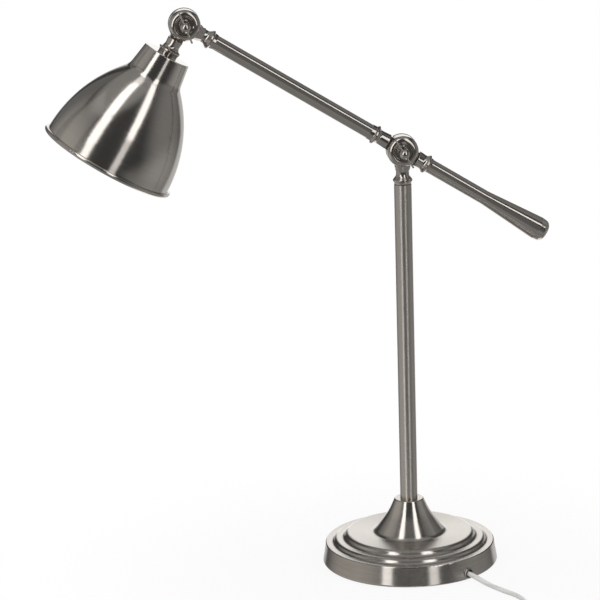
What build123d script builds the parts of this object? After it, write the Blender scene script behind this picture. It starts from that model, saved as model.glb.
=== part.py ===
from build123d import *
import math
import os

os.makedirs("parts", exist_ok=True)

# A swing arm desk lamp in millimetres and degrees. The origin is the middle of the underside of the base,
# Z is up, and the arm lies in the XZ plane with the shade towards -X. Both knuckles turn about Y.

# Driving sizes.
BASE_D = 194.0
COLUMN_D = 19.0
ARM_D = 16.0
ELBOW_Z = 465.0
ARM_LENGTH = 272.0
ARM_TILT = 32.6
SHADE_TILT = 31.4
CORD_D = 5.5
CORD_LENGTH = 1800.0

# Clearances. Turning fits and sliding faces, fits inside one body, and open clearance.
RUN_GAP = 0.05
SEAT_GAP = 0.02
OPEN_GAP = 0.3

# Base shell, a spun sheet given by its outside as heights and as distances in from the widest edge.
BASE_R = BASE_D / 2
SHEET = 1.2
PAD_H = 2.2
LIP_Z = PAD_H - SHEET
LIP_IN = 7.0
RIM_IN, RIM_Z, RIM_FILLET = 3.7, 23.5, 1.5
STEP1_FOOT_IN, STEP1_TOP_IN, STEP1_Z, STEP1_FILLET = 12.1, 14.8, 28.2, 4.5
STEP2_FOOT_IN, STEP2_TOP_IN, STEP2_Z, STEP2_FILLET = 23.8, 27.2, 34.0, 5.5

# The trumpet flare between the base's top and the column.
FLARE_R, FLARE_FILLET = 39.0, 7.0
FLARE_WAIST_R, FLARE_WAIST_Z, FLARE_BEND = 22.4, 57.5, 60.0
COLLAR_R, COLLAR_Z = 16.0, 72.0

# Ballast and plate inside the shell.
PLATE_IN, PLATE_H = 3.5, 1.2
PAD_IN, PAD_EYE_R, PLATE_EYE_R = 8.5, 12.0, 13.0
BALLAST_IN = 7.5
POCKET_R, POCKET_ROOF_Z = 42.0, 14.0
CHANNEL_START, CHANNEL_W = 15.0, 14.0
PLATE_SCREW_COUNT, PLATE_SCREW_RING_R = 3, BASE_R - 29.5
SCREW_R, SCREW_HEAD_R, SCREW_HEAD_H, SCREW_LENGTH = 1.98, 3.6, 1.6, 8.3
SCREW_HOLE_DEPTH, PLATE_HOLE_R, PAD_HOLE_R = 8.0, 2.2, 4.2

# Column and the rod that holds it down.
COLUMN_WALL = 1.5
COLUMN_SOCKET = 4.0
ROD_R, WIRE_R = 5.0, 2.5
WIRE_BORE_R = WIRE_R + RUN_GAP
PLUG_LENGTH = 22.0
NUT_FLATS, SWIVEL_NUT_FLATS, NUT_H = 14.0, 12.5, 5.0
WASHER_R, WASHER_H, WASHER_LOOSE, SLIP_IN = 10.0, 1.5, 0.4, 0.6
ROD_END, WIRE_END = 1.5, 3.0

# Knuckles: eye between two cheek discs, seen from the side as radii, across the pin as widths.
CHEEK_R, CHEEK_W = 17.0, 7.0
CHEEK_EDGE, DISH_EDGE = 5.4, 1.3
DISH_R, DISH_DEPTH = 10.8, 2.2
EYE_R, EYE_W = 16.6, 10.0
FRICTION_W, FRICTION_R = 0.8, 12.0
SLOT_W = EYE_W + 2 * (FRICTION_W + RUN_GAP)
YOKE_HALF_X, YOKE_HALF_Y, YOKE_TOP = 7.9, 11.6, 14.0
NECK_FACE = 18.3
TONGUE_HALF = 7.4
PIN_R = 4.0
KNUCKLE_SPAN, SLOT_FLOOR, SEAT_LAND = 60.0, 1.6, 0.5
FRONT_NECK_R, REAR_NECK_R, STEM_NECK_R, STEM_SEAT_R = 7.5, 7.9, 7.8, 10.6

# Clamp screws and their tommy bars.
HEAD_R, HEAD_WAIST_R = 5.7, 4.7
HEAD_START, HEAD_END, BAR_AT = 16.5, 28.0, 23.4
BAR_R, BAR_LENGTH = 1.0, 36.0
ELBOW_BAR_LEAN, HEAD_BAR_LEAN = 30.7, 20.9
CAP_NUT_R, CAP_NUT_END, PIN_END = 7.0, 19.0, 15.5

# Turned necks: distance from the pivot and radius of each feature.
FORK_NECK_AT, FORK_NECK_R = 22.8, 7.15
BEAD_R, BEAD_HALF, COLLAR_STEP = 10.6, 0.8, 0.35
COVE_R, FORK_COVE, EYE_COVE = 5.0, 5.2, 3.4
ELBOW_BEAD_AT, COLUMN_TOP_AT = 32.8, 36.5
ARM_BEAD_AT, ARM_SEAT_AT = 34.2, 40.7
HANDLE_BEAD_AT, HANDLE_SEAT_AT = 30.7, 35.0
HEAD_BEAD_AT, HEAD_SEAT_AT = 31.9, 37.5
STEM_BEAD_R, STEM_BEAD_AT, STEM_SEAT_AT = 12.0, 31.2, 36.4
ARM_WALL, SPIGOT = 1.2, 15.0

# Handle counterweight.
HANDLE_R, HANDLE_END_R = 7.8, 12.75
HANDLE_TAPER_AT, HANDLE_FULL_AT, HANDLE_END_AT = 106.0, 173.0, 184.0
STUD_R, STUD = 4.0, 14.0

# Shade, measured down its own axis from the flat top of its cap.
SHADE_SHEET = 1.0
CAP_R, CREASE_R, CREASE_AT, CREASE_FILLET = 26.0, 30.2, 27.0, 12.0
BELL_R, BELL_MOUTH_R, BELL_MOUTH_AT = 155.0, 72.4, 127.0
RIM_BEAD_R, RIM_BEAD_OUT, RIM_BEAD_DROP = 2.6, 0.7, 3.6
RIM_BEAD_MID_R, RIM_BEAD_AT = BELL_MOUTH_R + RIM_BEAD_OUT, BELL_MOUTH_AT + RIM_BEAD_DROP

# Lampholder and bulb on the same axis.
NIPPLE_R, NIPPLE_IN, NIPPLE_OUT = 5.0, 14.0, 9.0
LOCK_NUT_H, LOCK_NUT_FLATS = 3.0, 16.0
HOLDER_R, HOLDER_WALL, HOLDER_CAP_H, HOLDER_H = 20.0, 2.4, 15.0, 30.0
SOCKET_R, SOCKET_FLOOR = 14.6, 4.0
SHELL_WALL, SHELL_H = 0.6, 21.0
CONTACT_R, CONTACT_H = 4.5, 2.0
BULB_CAP_R, BULB_CAP_H = 13.2, 23.0
BULB_R, BULB_NECK_R, BULB_MID, BULB_WALL = 22.5, 12.9, 31.0, 0.9

# Cord: where it leaves the rim, its heading from -Y towards +X there, and where it is put away.
EXIT_HEADING = 34.0
EXIT_Z = 8.0
GROMMET_R, GROMMET_BORE_R, GROMMET_SLEEVE_R = 6.0, 3.9, 4.9
GROMMET_PROUD, GROMMET_IN = 1.6, 2.0
CORD_R = CORD_D / 2
CORD_LIE_Z = CORD_R + 0.3
GRIP_AT, GRIP_LENGTH = BASE_R - 25.5, 12.0
SWITCH_L, SWITCH_W, SWITCH_H, SWITCH_CORD_Z = 56.0, 21.0, 13.0, 5.8
ROCKER_L, ROCKER_W, ROCKER_H, ROCKER_TIP = 17.0, 9.0, 2.6, 8.0
ROCKER_WELL, ROCKER_SUNK, ROCKER_PIN_R = 5.0, 2.2, 0.9
LAYER, TIE_T, TIE_W = 6.1, 0.5, 9.0
COIL_Z = CORD_R + 0.7
QUARTER_TURN_COUNT = 13
COIL_MID_R = 31.13
COIL_R = COIL_MID_R + LAYER * QUARTER_TURN_COUNT / 8
PLUG_L, PLUG_W, PLUG_H = 36.0, 26.0, 13.7
PIN_BLADE_R, PIN_BLADE_L, PIN_SPACING = 2.0, 19.0, 18.6


def heading(degrees):
    """A level direction, turned from -Y towards +X."""
    return Vector(math.sin(math.radians(degrees)), -math.cos(math.radians(degrees)), 0)


def turned(points, radii=0):
    """A turned piece about Z from the corners of half its section, given as radius and height."""
    outline = FilletPolyline(*[(r, 0, z) for r, z in points], radius=radii, close=True)
    return revolve(make_face(outline), axis=Axis.Z)


def ring(outer, inner, low, high):
    return turned([(inner, low), (outer, low), (outer, high), (inner, high)])


def hex_nut(flats, bore, low, high):
    body = extrude(RegularPolygon(flats / 2, 6, major_radius=False), high - low)
    return Pos(0, 0, low) * body - Pos(0, 0, (low + high) / 2) * Cylinder(bore, 2 * (high - low))


def rod(radius, start, end):
    run = Vector(end) - Vector(start)
    return Solid.make_cylinder(radius, run.length, Plane(Vector(start), z_dir=run))


def spun_sheet(points, radii, thickness):
    """A sheet whose outside follows the corners, listed with its inside on the left."""
    outside = FilletPolyline(*[(r, 0, z) for r, z in points], radius=radii)
    moved = []
    for i, (r, z) in enumerate(points):
        sides = [points[j:j + 2] for j in (i - 1, i) if 0 <= j < len(points) - 1]
        turns = [math.atan2(b[1] - a[1], b[0] - a[0]) for a, b in sides]
        half = (turns[-1] - turns[0] + math.pi) % math.tau - math.pi
        middle = turns[0] + half / 2 + math.pi / 2
        reach = thickness / math.cos(half / 2)
        moved.append((r + reach * math.cos(middle), z + reach * math.sin(middle)))
    grown = []
    for i, radius in enumerate(radii):
        (ar, az), (br, bz), (cr, cz) = points[i:i + 3]
        left_turn = (br - ar) * (cz - bz) - (bz - az) * (cr - br) > 0
        grown.append(max(radius + (-thickness if left_turn else thickness), 0))
    inside = FilletPolyline(*[(r, 0, z) for r, z in moved], radius=grown)
    ends = [Line(outside @ 0, inside @ 0), Line(outside @ 1, inside @ 1)]
    return revolve(make_face(outside.edges() + inside.edges() + ends), axis=Axis.Z)


def tube_along(path, radius):
    return sweep(Plane(path @ 0, z_dir=path % 0) * Circle(radius), path=path)


def bent_cord(name, points):
    """A cord of straight runs joined by arcs as wide as the shorter run beside each corner allows."""
    points = [Vector(p) for p in points]
    radii = []
    for before, here, after in zip(points, points[1:], points[2:]):
        into, out = here - before, after - here
        half_turn = math.radians(into.get_angle(out)) / 2
        radii.append(0.45 * min(into.length, out.length) / math.tan(half_turn))
    path = FilletPolyline(*points, radius=radii)
    body = tube_along(path, CORD_R)
    full = math.pi * CORD_R**2 * path.length
    print(name, "bend radii", [round(r, 1) for r in radii], "length", round(path.length, 1))
    print(name, "volume over section times length", round(body.volume / full, 4))
    return body, path


# The base. The shell's rim is closed by a lip under the plate, and its first ledge lies on the ballast.
rim_r = BASE_R - RIM_IN
shell_outline = [
    (BASE_R - LIP_IN, LIP_Z),
    (BASE_R, LIP_Z),
    (rim_r, RIM_Z),
    (BASE_R - STEP1_FOOT_IN, RIM_Z),
    (BASE_R - STEP1_TOP_IN, STEP1_Z),
    (BASE_R - STEP2_FOOT_IN, STEP1_Z),
    (BASE_R - STEP2_TOP_IN, STEP2_Z),
    (FLARE_R, STEP2_Z),
    (FLARE_WAIST_R, FLARE_WAIST_Z),
    (COLLAR_R, COLLAR_Z),
    (COLUMN_D / 2 + RUN_GAP, COLLAR_Z),
]
step_fillets = [STEP1_FILLET, STEP1_FILLET, STEP2_FILLET, STEP2_FILLET]
shell_fillets = [2.0, RIM_FILLET, *step_fillets, FLARE_FILLET, FLARE_BEND, 1.4]
base_shell = spun_sheet(shell_outline, shell_fillets, SHEET)
exit_way = heading(EXIT_HEADING)
exit_side = Vector(-exit_way.Y, exit_way.X, 0)


def along_exit(reach, aside=0.0, height=EXIT_Z):
    return exit_way * reach + exit_side * aside + Vector(0, 0, height)


rim_at_exit = BASE_R + (rim_r - BASE_R) * (EXIT_Z - LIP_Z) / (RIM_Z - LIP_Z)
before_rim = along_exit(rim_at_exit - 2 * GROMMET_SLEEVE_R)
past_rim = along_exit(rim_at_exit + 2 * GROMMET_SLEEVE_R)
base_shell -= rod(GROMMET_SLEEVE_R + SEAT_GAP, before_rim, past_rim)
base_pad = ring(BASE_R - PAD_IN, PAD_EYE_R, 0, PAD_H)
plate_top = PAD_H + PLATE_H
base_plate = ring(BASE_R - PLATE_IN, PLATE_EYE_R, PAD_H, plate_top)
ballast_top = RIM_Z - SHEET
base_ballast = ring(BASE_R - BALLAST_IN, ROD_R + OPEN_GAP, plate_top, ballast_top)
base_ballast -= Cylinder(POCKET_R, 2 * POCKET_ROOF_Z)
column_foot_z = ballast_top - COLUMN_SOCKET
base_ballast -= Pos(0, 0, ballast_top) * Cylinder(COLUMN_D / 2 + SEAT_GAP, 2 * COLUMN_SOCKET)
channel_middle = along_exit((CHANNEL_START + BASE_R) / 2, 0, plate_top)
channel_size = (BASE_R - CHANNEL_START, CHANNEL_W, 2 * (POCKET_ROOF_Z - plate_top))
base_ballast -= Plane(channel_middle, x_dir=exit_way) * Box(*channel_size)
screw_places = PolarLocations(PLATE_SCREW_RING_R, PLATE_SCREW_COUNT, EXIT_HEADING)
screw_hole = Pos(0, 0, plate_top) * Cylinder(SCREW_R + SEAT_GAP, 2 * SCREW_HOLE_DEPTH)
base_plate -= screw_places * Cylinder(PLATE_HOLE_R, 3 * plate_top)
base_ballast -= screw_places * screw_hole
screw_low, screw_high = PAD_H - SCREW_HEAD_H, PAD_H + SCREW_LENGTH
screw_corners = [
    (0, screw_low),
    (SCREW_HEAD_R, screw_low),
    (SCREW_HEAD_R, PAD_H),
    (SCREW_R, PAD_H),
    (SCREW_R, screw_high),
    (0, screw_high),
]
screw_form = turned(screw_corners)
base_pad -= screw_places * Cylinder(PAD_HOLE_R, 3 * PAD_H)
plate_screws = Compound(children=[place * screw_form for place in screw_places])

# The column: tube, plug in its foot, and a hollow rod with a nut under the ballast.
column_top_z = ELBOW_Z - COLUMN_TOP_AT - FRICTION_W - RUN_GAP
column_bore_r = COLUMN_D / 2 - COLUMN_WALL
column_tube = ring(COLUMN_D / 2, column_bore_r, column_foot_z, column_top_z)
column_plug = ring(column_bore_r - SEAT_GAP, ROD_R + SEAT_GAP, column_foot_z, column_foot_z + PLUG_LENGTH)
nut_low = POCKET_ROOF_Z - WASHER_H - NUT_H
tie_rod = ring(ROD_R, WIRE_BORE_R, nut_low - ROD_END, column_foot_z + PLUG_LENGTH)
tie_washer = ring(WASHER_R, ROD_R + SEAT_GAP, POCKET_ROOF_Z - WASHER_H, POCKET_ROOF_Z)
tie_nut = hex_nut(NUT_FLATS, ROD_R + SEAT_GAP, nut_low, nut_low + NUT_H)
bush_low = column_top_z - PLUG_LENGTH
column_bush = ring(column_bore_r - SEAT_GAP, ROD_R + RUN_GAP, bush_low, column_top_z)
slip_washer = ring(COLUMN_D / 2 - SLIP_IN, ROD_R + OPEN_GAP, column_top_z, column_top_z + FRICTION_W)
nipple_low = bush_low - WASHER_H - NUT_H - ROD_END
column_wire = rod(WIRE_R, (0, 0, nut_low - WIRE_END), (0, 0, nipple_low - WIRE_END))


def knuckle_fork(neck_points, neck_fillets):
    """A fork with its pivot at the origin, its neck towards -Z and its slot across Y."""
    half_slot = SLOT_W / 2
    cheek_corners = [
        (0, half_slot - 1.0),
        (CHEEK_R, half_slot - 1.0),
        (CHEEK_R, half_slot + CHEEK_W),
        (DISH_R, half_slot + CHEEK_W),
        (DISH_R - 1.4, half_slot + CHEEK_W - DISH_DEPTH),
        (0, half_slot + CHEEK_W - DISH_DEPTH),
    ]
    cheek = turned(cheek_corners, [0, 0, CHEEK_EDGE, DISH_EDGE, 0.9, 0])
    yoke_corners = [
        (0, -FORK_NECK_AT - 0.6),
        (FORK_NECK_R - 0.1, -FORK_NECK_AT - 0.6),
        (YOKE_HALF_Y, -YOKE_TOP),
        (YOKE_HALF_Y, -8.0),
        (0, -8.0),
    ]
    yoke = turned(yoke_corners, [0, 0, 3.0, 0, 0]) & Box(2 * YOKE_HALF_X, KNUCKLE_SPAN, KNUCKLE_SPAN)
    fork = yoke + Rot(90, 0, 0) * cheek + Rot(-90, 0, 0) * cheek + turned(neck_points, neck_fillets)
    fork -= Pos(0, 0, KNUCKLE_SPAN / 2 - EYE_R - SLOT_FLOOR) * Box(KNUCKLE_SPAN, SLOT_W, KNUCKLE_SPAN)
    return fork - Rot(90, 0, 0) * Cylinder(PIN_R + RUN_GAP, KNUCKLE_SPAN)


def neck_end(seat_r, seat_at, spigot_r, spigot_length):
    """The corners and fillets of a neck's seat, and of the spigot below it if it has one."""
    if not spigot_length:
        return [(seat_r, -seat_at), (0, -seat_at)], [0, 0]
    end_at = seat_at + spigot_length
    return [(seat_r, -seat_at), (spigot_r, -seat_at), (spigot_r, -end_at), (0, -end_at)], [0, 0, 0.5, 0]


def fork_neck(bead_at, seat_r, seat_at, spigot_r=0.0, spigot_length=0.0):
    """Half the section of a fork's neck from the yoke down to its seat, as corners and fillets."""
    end, end_fillets = neck_end(seat_r, seat_at, spigot_r, spigot_length)
    points = [
        (0, -FORK_NECK_AT + 1.5),
        (FORK_NECK_R, -FORK_NECK_AT + 1.5),
        (FORK_NECK_R, -bead_at + FORK_COVE),
        (BEAD_R, -bead_at + BEAD_HALF),
        (BEAD_R, -bead_at - BEAD_HALF),
        (seat_r + COLLAR_STEP, -bead_at - BEAD_HALF - 1.2),
    ]
    return points + end, [0, 0, COVE_R, 0.6, 0.6, 0.8] + end_fillets


def eye_neck(neck_r, bead_r, bead_at, seat_r, seat_at, spigot_r=0.0, spigot_length=0.0):
    """A turned neck towards -Z that starts clear of the cheeks, with the tongue that joins it to the eye."""
    end, end_fillets = neck_end(seat_r, seat_at, spigot_r, spigot_length)
    points = [
        (0, -NECK_FACE),
        (neck_r + 0.9, -NECK_FACE),
        (neck_r, -bead_at + EYE_COVE),
        (bead_r, -bead_at + BEAD_HALF),
        (bead_r, -bead_at - BEAD_HALF),
        (seat_r + COLLAR_STEP, -bead_at - BEAD_HALF - 1.2),
    ]
    tongue = Pos(0, 0, -(NECK_FACE + 1.5) / 2) * Box(2 * TONGUE_HALF, EYE_W, NECK_FACE + 1.5)
    return turned(points + end, [0, 0.6, COVE_R, 0.6, 0.6, 0.8] + end_fillets) + tongue


eye_corners = [(0, -EYE_W / 2), (EYE_R, -EYE_W / 2), (EYE_R, EYE_W / 2), (0, EYE_W / 2)]
eye_disc = turned(eye_corners, [0, 0.5, 0.5, 0])
eye_disc = Rot(90, 0, 0) * eye_disc
pin_hole = Rot(90, 0, 0) * Cylinder(PIN_R + RUN_GAP, KNUCKLE_SPAN)


def friction_washers():
    low = EYE_W / 2 + RUN_GAP
    washer = ring(FRICTION_R, PIN_R + OPEN_GAP, low, low + FRICTION_W)
    return Compound(children=[Rot(90, 0, 0) * washer, Rot(-90, 0, 0) * washer])


dish_floor = SLOT_W / 2 + CHEEK_W - DISH_DEPTH


def clamp_screw(lean):
    """A screw through the knuckle with its head towards -Y, and the bar through its head."""
    corners = [
        (0, -PIN_END),
        (PIN_R, -PIN_END),
        (PIN_R, dish_floor + RUN_GAP),
        (HEAD_R - 0.2, dish_floor + RUN_GAP),
        (HEAD_R - 0.2, dish_floor + 1.6),
        (HEAD_WAIST_R, dish_floor + 3.4),
        (HEAD_WAIST_R, HEAD_START),
        (HEAD_R, HEAD_START + 2.0),
        (HEAD_R, HEAD_END),
        (0, HEAD_END),
    ]
    screw = Rot(90, 0, 0) * turned(corners, [0, 0.6, 0, 0.3, 0.5, 0.8, 0.8, 1.0, 5.2, 0])
    bar = Cylinder(BAR_R, BAR_LENGTH)
    bar = fillet(bar.edges(), 0.8 * BAR_R)
    place = Pos(0, -BAR_AT, 0) * Rot(0, -lean, 0)
    screw -= place * Cylinder(BAR_R + SEAT_GAP, BAR_LENGTH)
    return screw, place * bar


def cap_nut():
    corners = [
        (0, dish_floor),
        (CAP_NUT_R, dish_floor),
        (CAP_NUT_R, CAP_NUT_END),
        (0, CAP_NUT_END),
    ]
    body = turned(corners, [0, 0.5, 4.5, 0])
    body -= Pos(0, 0, PIN_END - 9.0) * Cylinder(PIN_R + RUN_GAP, 20)
    return Rot(-90, 0, 0) * body


# The elbow: fork, hollow nipple through the bush, and the nut that keeps the fork on the column.
elbow = Pos(0, 0, ELBOW_Z)
elbow_fork = knuckle_fork(*fork_neck(ELBOW_BEAD_AT, COLUMN_D / 2 - 0.2, COLUMN_TOP_AT))
nipple_top = -FORK_NECK_AT - 2.0
elbow_fork -= Pos(0, 0, nipple_top - KNUCKLE_SPAN / 2) * Cylinder(ROD_R + SEAT_GAP, KNUCKLE_SPAN)
elbow_fork = elbow * elbow_fork
swivel_nipple = ring(ROD_R, WIRE_BORE_R, nipple_low, ELBOW_Z + nipple_top)
swivel_nut_top = bush_low - RUN_GAP - WASHER_H
swivel_washer = ring(column_bore_r - WASHER_LOOSE, ROD_R + SEAT_GAP, swivel_nut_top, bush_low - RUN_GAP)
swivel_nut = hex_nut(SWIVEL_NUT_FLATS, ROD_R + SEAT_GAP, swivel_nut_top - NUT_H, swivel_nut_top)
elbow_washers = elbow * friction_washers()
elbow_cap_nut = elbow * cap_nut()
elbow_screw, elbow_bar = [elbow * piece for piece in clamp_screw(ELBOW_BAR_LEAN)]

# The balanced arm, turned along Z and laid along its own tilted axis.
arm = elbow * Rot(0, ARM_TILT, 0)
forward, rearward = Rot(0, 90, 0), Rot(0, -90, 0)
arm_bore_r = ARM_D / 2 - ARM_WALL
arm_land_r, arm_spigot_r = ARM_D / 2 + SEAT_LAND, arm_bore_r - SEAT_GAP
front_neck = eye_neck(FRONT_NECK_R, BEAD_R, ARM_BEAD_AT, arm_land_r, ARM_SEAT_AT, arm_spigot_r, SPIGOT)
front_neck -= Pos(0, 0, -ARM_SEAT_AT) * Cylinder(WIRE_BORE_R, 2 * SPIGOT)
handle_land_r = HANDLE_R + SEAT_LAND
rear_neck = eye_neck(REAR_NECK_R, BEAD_R, HANDLE_BEAD_AT, handle_land_r, HANDLE_SEAT_AT, STUD_R, STUD)
arm_hub = arm * (eye_disc + forward * front_neck + rearward * rear_neck - pin_hole)
head_seat = ARM_LENGTH - HEAD_SEAT_AT
arm_tube = arm * forward * ring(ARM_D / 2, arm_bore_r, -head_seat, -ARM_SEAT_AT)
wire_start, wire_end = ARM_SEAT_AT + 2, head_seat - 2
arm_wire = arm * forward * rod(WIRE_R, (0, 0, -wire_start), (0, 0, -wire_end))
handle_corners = [
    (0, -HANDLE_SEAT_AT),
    (HANDLE_R, -HANDLE_SEAT_AT),
    (HANDLE_R, -HANDLE_TAPER_AT),
    (HANDLE_END_R, -HANDLE_FULL_AT),
    (HANDLE_END_R - 1.0, -HANDLE_END_AT),
    (0, -HANDLE_END_AT),
]
handle = turned(handle_corners, [0, 0.3, 60, 6.0, 6.0, 0])
handle -= Pos(0, 0, -HANDLE_SEAT_AT) * Cylinder(STUD_R + SEAT_GAP, 2 * (STUD + 1))
handle_weight = arm * rearward * handle

# The head knuckle: its fork belongs to the arm, its eye to the shade.
at_head = arm * Pos(-ARM_LENGTH, 0, 0)
head_pivot = at_head.position
head_neck = fork_neck(HEAD_BEAD_AT, arm_land_r, HEAD_SEAT_AT, arm_spigot_r, SPIGOT)
head_fork = knuckle_fork(*head_neck)
head_fork -= Pos(0, 0, -HEAD_SEAT_AT) * Cylinder(WIRE_BORE_R, 2 * SPIGOT)
head_fork = at_head * rearward * head_fork
head_level = Pos(head_pivot)
head_washers = head_level * friction_washers()
head_cap_nut = head_level * cap_nut()
head_screw, head_bar = [head_level * piece for piece in clamp_screw(HEAD_BAR_LEAN)]

# The shade on its stem. Heights below are measured down the axis, so they count as -Z here.
shade_axis = head_level * Rot(0, SHADE_TILT, 0)
stem = eye_neck(STEM_NECK_R, STEM_BEAD_R, STEM_BEAD_AT, STEM_SEAT_R, STEM_SEAT_AT)
stem -= Pos(0, 0, -STEM_SEAT_AT) * Cylinder(NIPPLE_R + SEAT_GAP, 2 * NIPPLE_IN)
shade_stem = shade_axis * (stem + eye_disc - pin_hole)


def down(distance):
    """A height on the shade's axis, from the top of its cap."""
    return -STEM_SEAT_AT - distance


bell_rise = math.hypot(BELL_MOUTH_R - CREASE_R, BELL_MOUTH_AT - CREASE_AT) / 2
bell_way = math.atan2(BELL_MOUTH_AT - CREASE_AT, BELL_MOUTH_R - CREASE_R)
bell_bow = BELL_R - math.sqrt(BELL_R**2 - bell_rise**2)


def bell_face(inset):
    """Half the section inside the shade's outline, moved in by a distance."""
    crease = Vector(CREASE_R - inset, 0, down(CREASE_AT + 0.15 * inset))
    mouth = Vector(BELL_MOUTH_R - inset, 0, down(BELL_MOUTH_AT))
    bow = Vector(math.sin(bell_way), 0, math.cos(bell_way)) * bell_bow
    lip = Vector(mouth.X + 0.4, 0, down(RIM_BEAD_AT))
    top = down(inset)
    edges = [
        Line((0, 0, top), (CAP_R - inset, 0, top)),
        Line((CAP_R - inset, 0, top), crease),
        ThreePointArc(crease, (crease + mouth) / 2 + bow, mouth),
        Line(mouth, lip),
        Line(lip, (0, 0, lip.Z)),
        Line((0, 0, lip.Z), (0, 0, top)),
    ]
    return make_face(edges)


def bell_solid(inset):
    """The space inside the shade's outline, with its crease rounded."""
    form = revolve(bell_face(inset), axis=Axis.Z)
    crease = form.edges().filter_by(GeomType.CIRCLE).sort_by(Axis.Z)[-2]
    return fillet(crease, CREASE_FILLET + inset)


shade = bell_solid(0)
cap_edge = shade.edges().filter_by(GeomType.CIRCLE).sort_by(Axis.Z)[-1]
shade = fillet(cap_edge, 1.6) - bell_solid(SHADE_SHEET)
shade += Pos(0, 0, down(RIM_BEAD_AT)) * Torus(RIM_BEAD_MID_R, RIM_BEAD_R)
shade -= Pos(0, 0, down(0)) * Cylinder(NIPPLE_R + SEAT_GAP, 10)
shade = shade_axis * shade

lock_low = SHADE_SHEET + LOCK_NUT_H
shade_nipple = shade_axis * ring(NIPPLE_R, WIRE_BORE_R, down(NIPPLE_OUT), down(-NIPPLE_IN + 0.5))
lock_nut = shade_axis * hex_nut(LOCK_NUT_FLATS, NIPPLE_R + SEAT_GAP, down(lock_low), down(SHADE_SHEET))
holder_mid = lock_low + HOLDER_CAP_H
holder_end = holder_mid + HOLDER_H
cap_corners = [
    (NIPPLE_R + SEAT_GAP, down(lock_low)),
    (HOLDER_R - 1.5, down(lock_low)),
    (HOLDER_R, down(holder_mid)),
    (HOLDER_R - HOLDER_WALL, down(holder_mid)),
    (HOLDER_R - HOLDER_WALL - 1.5, down(lock_low + HOLDER_WALL)),
    (NIPPLE_R + SEAT_GAP, down(lock_low + HOLDER_WALL)),
]
holder_cap = shade_axis * turned(cap_corners, [0, 5.0, 0, 0, 3.0, 0])
body_corners = [
    (0, down(holder_mid)),
    (HOLDER_R, down(holder_mid)),
    (HOLDER_R, down(holder_mid + 6)),
    (HOLDER_R - 2.0, down(holder_mid + 8)),
    (HOLDER_R - 2.6, down(holder_end)),
    (SOCKET_R, down(holder_end)),
    (SOCKET_R, down(holder_mid + SOCKET_FLOOR)),
    (0, down(holder_mid + SOCKET_FLOOR)),
]
holder_body = turned(body_corners, [0, 0, 0.6, 0.6, 0.8, 0.6, 0, 0])
wire_foot = holder_mid + SOCKET_FLOOR / 2
holder_body -= Pos(0, 0, down(holder_mid)) * Cylinder(WIRE_BORE_R, SOCKET_FLOOR)
holder_body = shade_axis * holder_body
socket_floor = holder_mid + SOCKET_FLOOR
shell_r = SOCKET_R - SEAT_GAP
shell_end = socket_floor + SHELL_H
holder_shell = shade_axis * ring(shell_r, shell_r - SHELL_WALL, down(shell_end), down(socket_floor))
holder_contact = shade_axis * ring(CONTACT_R, 0, down(socket_floor + CONTACT_H), down(socket_floor))
head_wire = shade_axis * rod(WIRE_R, (0, 0, down(-NIPPLE_IN + 1.5)), (0, 0, down(wire_foot)))
bulb_foot = socket_floor + CONTACT_H
bulb_seat = bulb_foot + BULB_CAP_H
thread_steps = 4
cap_outline = [(0, down(bulb_foot)), (6.0, down(bulb_foot)), (BULB_CAP_R - 0.8, down(bulb_foot + 4))]
for step in range(thread_steps):
    crest = bulb_foot + 5.0 + 3.6 * step
    cap_outline.append((BULB_CAP_R, down(crest + 0.6)))
    cap_outline.append((BULB_CAP_R - 0.8, down(crest + 2.4)))
cap_outline += [(BULB_CAP_R, down(bulb_seat)), (0, down(bulb_seat))]
cap_rounding = [0, 1.5, 1.2] + [0.7] * (2 * thread_steps) + [0, 0]
bulb_cap = shade_axis * turned(cap_outline, cap_rounding)
globe_mid = down(bulb_seat + BULB_MID)


def bulb_form(inset):
    """The bulb's envelope, moved in by a distance."""
    neck_corners = [
        (0, down(bulb_seat + inset)),
        (BULB_NECK_R - inset, down(bulb_seat + inset)),
        (BULB_NECK_R + 0.6 - inset, down(bulb_seat + 7)),
        (BULB_R - 1.6 - inset, globe_mid + 8.5),
        (0, globe_mid + 8.5),
    ]
    return turned(neck_corners, [0, 0.4, 9.0, 0, 0]) + Pos(0, 0, globe_mid) * Sphere(BULB_R - inset)


bulb_glass = shade_axis * (bulb_form(0) - bulb_form(BULB_WALL))

# Wiring inside the base. The cord passes the grommet, a grip in the ballast's channel, and ends at the block.
grip_mid = along_exit(GRIP_AT + GRIP_LENGTH / 2, 0, (plate_top + POCKET_ROOF_Z) / 2)
grip_size = (GRIP_LENGTH, CHANNEL_W - 2 * SEAT_GAP, POCKET_ROOF_Z - plate_top)
cord_grip = Plane(grip_mid, x_dir=exit_way) * Box(*grip_size)
cord_grip -= rod(CORD_R + SEAT_GAP, along_exit(GRIP_AT - 5), along_exit(GRIP_AT + GRIP_LENGTH + 5))
block_at, block_length, block_width, block_height = 22.0, 16.0, 20.0, 9.0
block_mid = along_exit(block_at + block_length / 2, 0, plate_top + block_height / 2)
terminal_block = Plane(block_mid, x_dir=exit_way) * Box(block_length, block_width, block_height)
cord_inner = rod(CORD_R, along_exit(block_at + block_length), along_exit(GRIP_AT))
shell_body = revolve(
    make_face(
        FilletPolyline(
            *[(r, 0, z) for r, z in shell_outline[1:4] + [(0, RIM_Z), (0, LIP_Z)]],
            radius=[2.0, 2.6, 0, 0, 0],
            close=True,
        )
    ),
    axis=Axis.Z,
)
flange_bar = rod(GROMMET_R, before_rim, along_exit(rim_at_exit + GROMMET_PROUD))
flange_edge = flange_bar.edges().sort_by(lambda e: e.center().dot(exit_way))[-1]
flange = fillet(flange_edge, 0.9) & (flange_bar - shell_body)
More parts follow.
